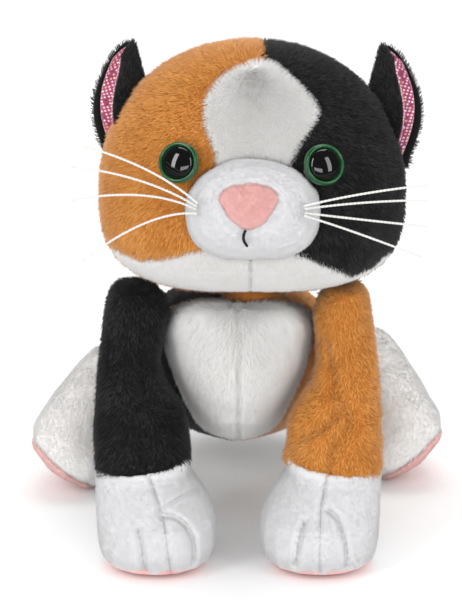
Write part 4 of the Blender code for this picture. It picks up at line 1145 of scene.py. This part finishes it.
def ear_leaf(side, inner, outer, tip=0.955, far=1.0, rows=EAR_ROWS, columns=EAR_COLUMNS):
    """A cupped leaf between two offsets: points, quads, and which points are on its back.

    tip and far are how much of its height and of its outer side it reaches.
    """
    sign = 1.0 if side == "left" else -1.0
    ends = (-1.0, far) if side == "left" else (-far, 1.0)
    upward = Vector((sign * math.sin(EAR_LEAN), 0.0, math.cos(EAR_LEAN)))
    opening = Vector((sign * math.sin(EAR_TURN), -math.cos(EAR_TURN), 0.0))
    opening = (opening - opening.dot(upward) * upward).normalized()
    frame_matrix = Matrix((upward.cross(opening), -opening, upward)).transposed().to_4x4()
    placed = (Matrix.Translation(HEAD_ORIGIN) @ Matrix.Rotation(HEAD_PITCH, 4, "X")
              @ Matrix.Translation(EAR_ROOT[side]) @ frame_matrix)
    up, across = np.meshgrid(np.linspace(-0.10, tip, rows), np.linspace(*ends, columns),
                             indexing="ij")
    near = np.maximum(sign * -across, 0.0) * np.sin(math.pi * np.clip(0.9 - up, 0.0, 1.0))
    turn = across * np.radians(84.0 + 12.0 * near)
    wide = EAR_WIDE * np.sin(math.pi * (0.2 + 0.8 * up)) ** 0.8
    high = np.maximum(up, 0.0)
    cup = EAR_CUP * (0.85 - 0.62 * high ** 1.3) * (1 - 0.6 * high ** 5)
    lean_out = np.stack([cup * np.sin(turn), wide * np.cos(turn), np.zeros_like(turn)], axis=-1)
    lean_out = unit(lean_out)
    bow = EAR_BOW * np.sin(math.pi * np.clip(up, 0.0, 1.0))
    tall = EAR_TALL * up * (1 - EAR_ROUND * across ** 2)
    base = np.stack([wide * np.sin(turn), cup * np.cos(turn) - bow, tall], axis=-1)
    layers = [base + lean_out * outer, base + lean_out * inner]
    points = np.concatenate([layer.reshape(-1, 3) for layer in layers])
    points = points @ np.array(placed.to_3x3()).T + np.array(placed.translation)
    back = np.arange(rows * columns).reshape(rows, columns)
    front = back + rows * columns
    faces = [np.stack([back[:-1, :-1], back[:-1, 1:], back[1:, 1:], back[1:, :-1]], axis=-1),
             np.stack([front[:-1, :-1], front[1:, :-1], front[1:, 1:], front[:-1, 1:]], axis=-1),
             np.stack([back[0, :-1], front[0, :-1], front[0, 1:], back[0, 1:]], axis=-1),
             np.stack([back[-1, :-1], back[-1, 1:], front[-1, 1:], front[-1, :-1]], axis=-1),
             np.stack([back[:-1, 0], back[1:, 0], front[1:, 0], front[:-1, 0]], axis=-1),
             np.stack([back[:-1, -1], front[:-1, -1], front[1:, -1], back[1:, -1]], axis=-1)]
    faces = np.concatenate([f.reshape(-1, 4) for f in faces])
    outside = np.arange(len(points)) < rows * columns
    middle = back[rows // 2, columns // 2]
    if np.dot(vertex_normals(points, faces)[middle], points[middle] - points[middle + rows * columns]) < 0:
        faces = faces[:, ::-1]
    return points, faces, outside


def lay_flat(mesh, points):
    """Store where each point of an ear's leaf would lie if it were flattened, for its dots."""
    grid = points.reshape(2, EAR_ROWS, EAR_COLUMNS, 3)
    sideways = np.cumsum(np.linalg.norm(np.diff(grid, axis=2), axis=3), axis=2)
    sideways = np.concatenate([np.zeros((2, EAR_ROWS, 1)), sideways], axis=2)
    sideways -= sideways[:, :, EAR_COLUMNS // 2, None]
    climb = np.cumsum(np.linalg.norm(np.diff(grid[:, :, EAR_COLUMNS // 2], axis=1), axis=2), axis=1)
    climb = np.concatenate([np.zeros((2, 1)), climb], axis=1)
    height = np.broadcast_to(climb[:, :, None], sideways.shape)
    flat = np.stack([sideways, height, np.zeros_like(sideways)], axis=-1)
    layer = mesh.attributes.new("laid_flat", "FLOAT_VECTOR", "POINT")
    layer.data.foreach_set("vector", flat.ravel())


def ear(side):
    """A fur shell with a foil-dotted lining."""
    body = "ear_" + side
    points, faces, outer = ear_leaf(side, 1.5 * MM, 3.0 * MM)
    made = furred("ear_back_" + side + "_fur", points, faces, outer, BLACK, 2.4 * MM, 0.34 * MM,
                  5.0, (0.0, 0.0, 1.0), 800 if side == "left" else 820, lean=0.7, bend=0.3)
    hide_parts("ear_back_" + side)
    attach(made, body)
    points, faces, _ = ear_leaf(side, 0.2 * MM, 1.2 * MM, tip=0.91, far=0.91)
    mesh = new_mesh("ear_lining", points, [faces])
    lay_flat(mesh, points)
    made = put("ear_lining_" + side + "_foil", mesh, [FOIL])
    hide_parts("ear_lining_" + side)
    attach(made, body)


def tail():
    """The tail's fur cover."""
    points, faces, outer = panel("tail_cover", None, 0.0, voxel=1.5 * MM, smooth=14)
    points = points - vertex_normals(points, faces) * 1.2 * MM
    made = furred("tail_cover_fur", points, faces, outer, BLACK, 3.0 * MM, 0.38 * MM, 1.9,
                  (1.0, 0.3, -0.2), 860)
    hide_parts("tail_cover")
    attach(made, "tail")


def neck():
    """The gathered fur strip between the chin and the chest."""
    low, high = (np.array(c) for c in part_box("neck_gusset"))
    middle = (low + high) / 2
    turn = np.linspace(0.0, 2 * math.pi, 61)
    front = 0.5 - 0.5 * np.sin(turn)
    ring = np.stack([np.cos(turn) * 9 * MM + middle[0] + 3 * MM,
                     np.sin(turn) * 19 * MM + middle[1] - 11 * MM,
                     high[2] + 1.5 * MM + front * 5.0 * MM], axis=1)
    points, quads, caps = rope(ring, 3.2 * MM, sides=12, plies=1, groove=0.0)
    corners = np.concatenate([quads[:, [0, 1, 2]], quads[:, [0, 2, 3]], caps])
    points, faces = applied("neck_copy", points, corners,
                            ("REMESH", {"mode": "VOXEL", "voxel_size": 1.3 * MM}))
    made = furred("neck_gusset_fur", points, faces, np.ones(len(points), bool), ORANGE, 3.0 * MM,
                  0.38 * MM, 2.2, lambda p: unit(p - middle), 880)
    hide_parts("neck_gusset")
    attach(made, "neck")


def filling(node_name, body, inset, material, voxel=2.4 * MM):
    """A stuffing drawn in under its covers, lumpy as loose fibre is."""
    points, triangles = arrays(NODES[node_name])
    points, faces = applied(node_name + "_copy", points, triangles,
                            ("REMESH", {"mode": "VOXEL", "voxel_size": voxel}),
                            ("SMOOTH", {"factor": 0.5, "iterations": 8}))
    lumps = 0.5 * MM * (1.0 + noise(points, 5 * MM, 7))
    points = points - vertex_normals(points, faces) * (inset + lumps)[:, None]
    made = put(node_name + "_fill", new_mesh(node_name, points, [faces]), [material])
    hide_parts(node_name)
    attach(made, body)


head_panels()
torso_panels()
muzzle()
tail()
neck()
filling("head_stuffing", "head", 2.5 * MM, FIBRE)
filling("muzzle_stuffing", "head", 1.2 * MM, FIBRE, voxel=1.6 * MM)
filling("body_stuffing", "torso", 3.0 * MM, FIBRE)
filling("pellet_bag", "torso", 3.0 * MM, POUCH)
filling("tail_stuffing", "tail", 1.6 * MM, FIBRE)
for side in SIDES:
    front_leg(side)
    hind_leg(side)
    eye(side)
    ear(side)
    filling("front_leg_stuffing_" + side, "front_leg_" + side, 2.5 * MM, FIBRE)
    filling("hind_leg_stuffing_" + side, "hind_leg_" + side, 2.0 * MM, FIBRE)

# Stage, lights, camera ---------------------------------------------------------------------------

floor_size = 3.0
floor = put("floor", new_mesh("floor", np.array([(-floor_size, -floor_size, 0.0),
                                                (floor_size, -floor_size, 0.0),
                                                (floor_size, floor_size, 0.0),
                                                (-floor_size, floor_size, 0.0)]),
                              [np.array([(0, 1, 2, 3)])]), [])
paper, paper_shader = principled("floor", (0.97, 0.97, 0.97), 0.9)
seen = node(paper, "ShaderNodeLightPath")
shade = paper.node_tree.nodes.new("ShaderNodeMix")
shade.data_type = "RGBA"
shade.inputs["A"].default_value = (0.97, 0.97, 0.97, 1.0)
shade.inputs["B"].default_value = (0.04, 0.04, 0.04, 1.0)
wire(paper, seen.outputs["Is Glossy Ray"], shade.inputs["Factor"])
wire(paper, shade.outputs["Result"], paper_shader.inputs["Base Color"])
floor.data.materials.append(paper)

world = bpy.data.worlds.new("studio")
bpy.context.scene.world = world
world.use_nodes = True
back = world.node_tree.nodes["Background"]
back.inputs["Color"].default_value = (1.0, 1.0, 1.0, 1.0)
path = world.node_tree.nodes.new("ShaderNodeLightPath")
level = world.node_tree.nodes.new("ShaderNodeMapRange")
level.inputs["To Min"].default_value = 1.0
level.inputs["To Max"].default_value = 1.1
world.node_tree.links.new(path.outputs["Is Camera Ray"], level.inputs["Value"])
dim = world.node_tree.nodes.new("ShaderNodeMapRange")
dim.inputs["To Min"].default_value = 1.0
dim.inputs["To Max"].default_value = 0.06
world.node_tree.links.new(path.outputs["Is Glossy Ray"], dim.inputs["Value"])
product = world.node_tree.nodes.new("ShaderNodeMath")
product.operation = "MULTIPLY"
world.node_tree.links.new(level.outputs["Result"], product.inputs[0])
world.node_tree.links.new(dim.outputs["Result"], product.inputs[1])
world.node_tree.links.new(product.outputs["Value"], back.inputs["Strength"])


def softbox(name, place, target, wide, tall, power):
    """A rectangular studio light that looks at a target."""
    data = bpy.data.lights.new(name, "AREA")
    data.shape = "RECTANGLE"
    data.size, data.size_y, data.energy = wide, tall, power
    obj = bpy.data.objects.new(name, data)
    bpy.context.scene.collection.objects.link(obj)
    obj.location = place
    obj.rotation_euler = (Vector(target) - Vector(place)).to_track_quat("-Z", "Y").to_euler()
    return obj


MIDDLE = (0.0, -0.035, 0.10)
softbox("key", (-1.1, -1.0, 0.9), MIDDLE, 0.35, 1.3, 7.0)
softbox("fill", (1.1, -1.0, 0.7), MIDDLE, 0.35, 1.2, 4.0)
softbox("low_front", (0.0, -1.5, 0.25), MIDDLE, 1.2, 0.4, 4.0)
softbox("top", (0.1, 0.5, 1.5), MIDDLE, 1.0, 0.8, 5.0)

# Camera: level with the toy's face and looking down a little, from in front
CAMERA_LIFT = math.radians(18.0)
CAMERA_AWAY = 1.1
CAMERA_TARGET = Vector((-0.0028, -0.0353, 0.0905))
lens = bpy.data.cameras.new("camera")
lens.sensor_fit = "HORIZONTAL"
lens.sensor_width = 36.0
lens.lens = CAMERA_AWAY / 0.0004 * 36.0 / 462.0
camera = bpy.data.objects.new("camera", lens)
bpy.context.scene.collection.objects.link(camera)
camera.location = CAMERA_TARGET + CAMERA_AWAY * Vector((0.0, -math.cos(CAMERA_LIFT),
                                                        math.sin(CAMERA_LIFT)))
camera.rotation_euler = (math.pi / 2 - CAMERA_LIFT, 0.0, 0.0)
bpy.context.scene.camera = camera
bpy.context.scene.view_settings.view_transform = "Standard"
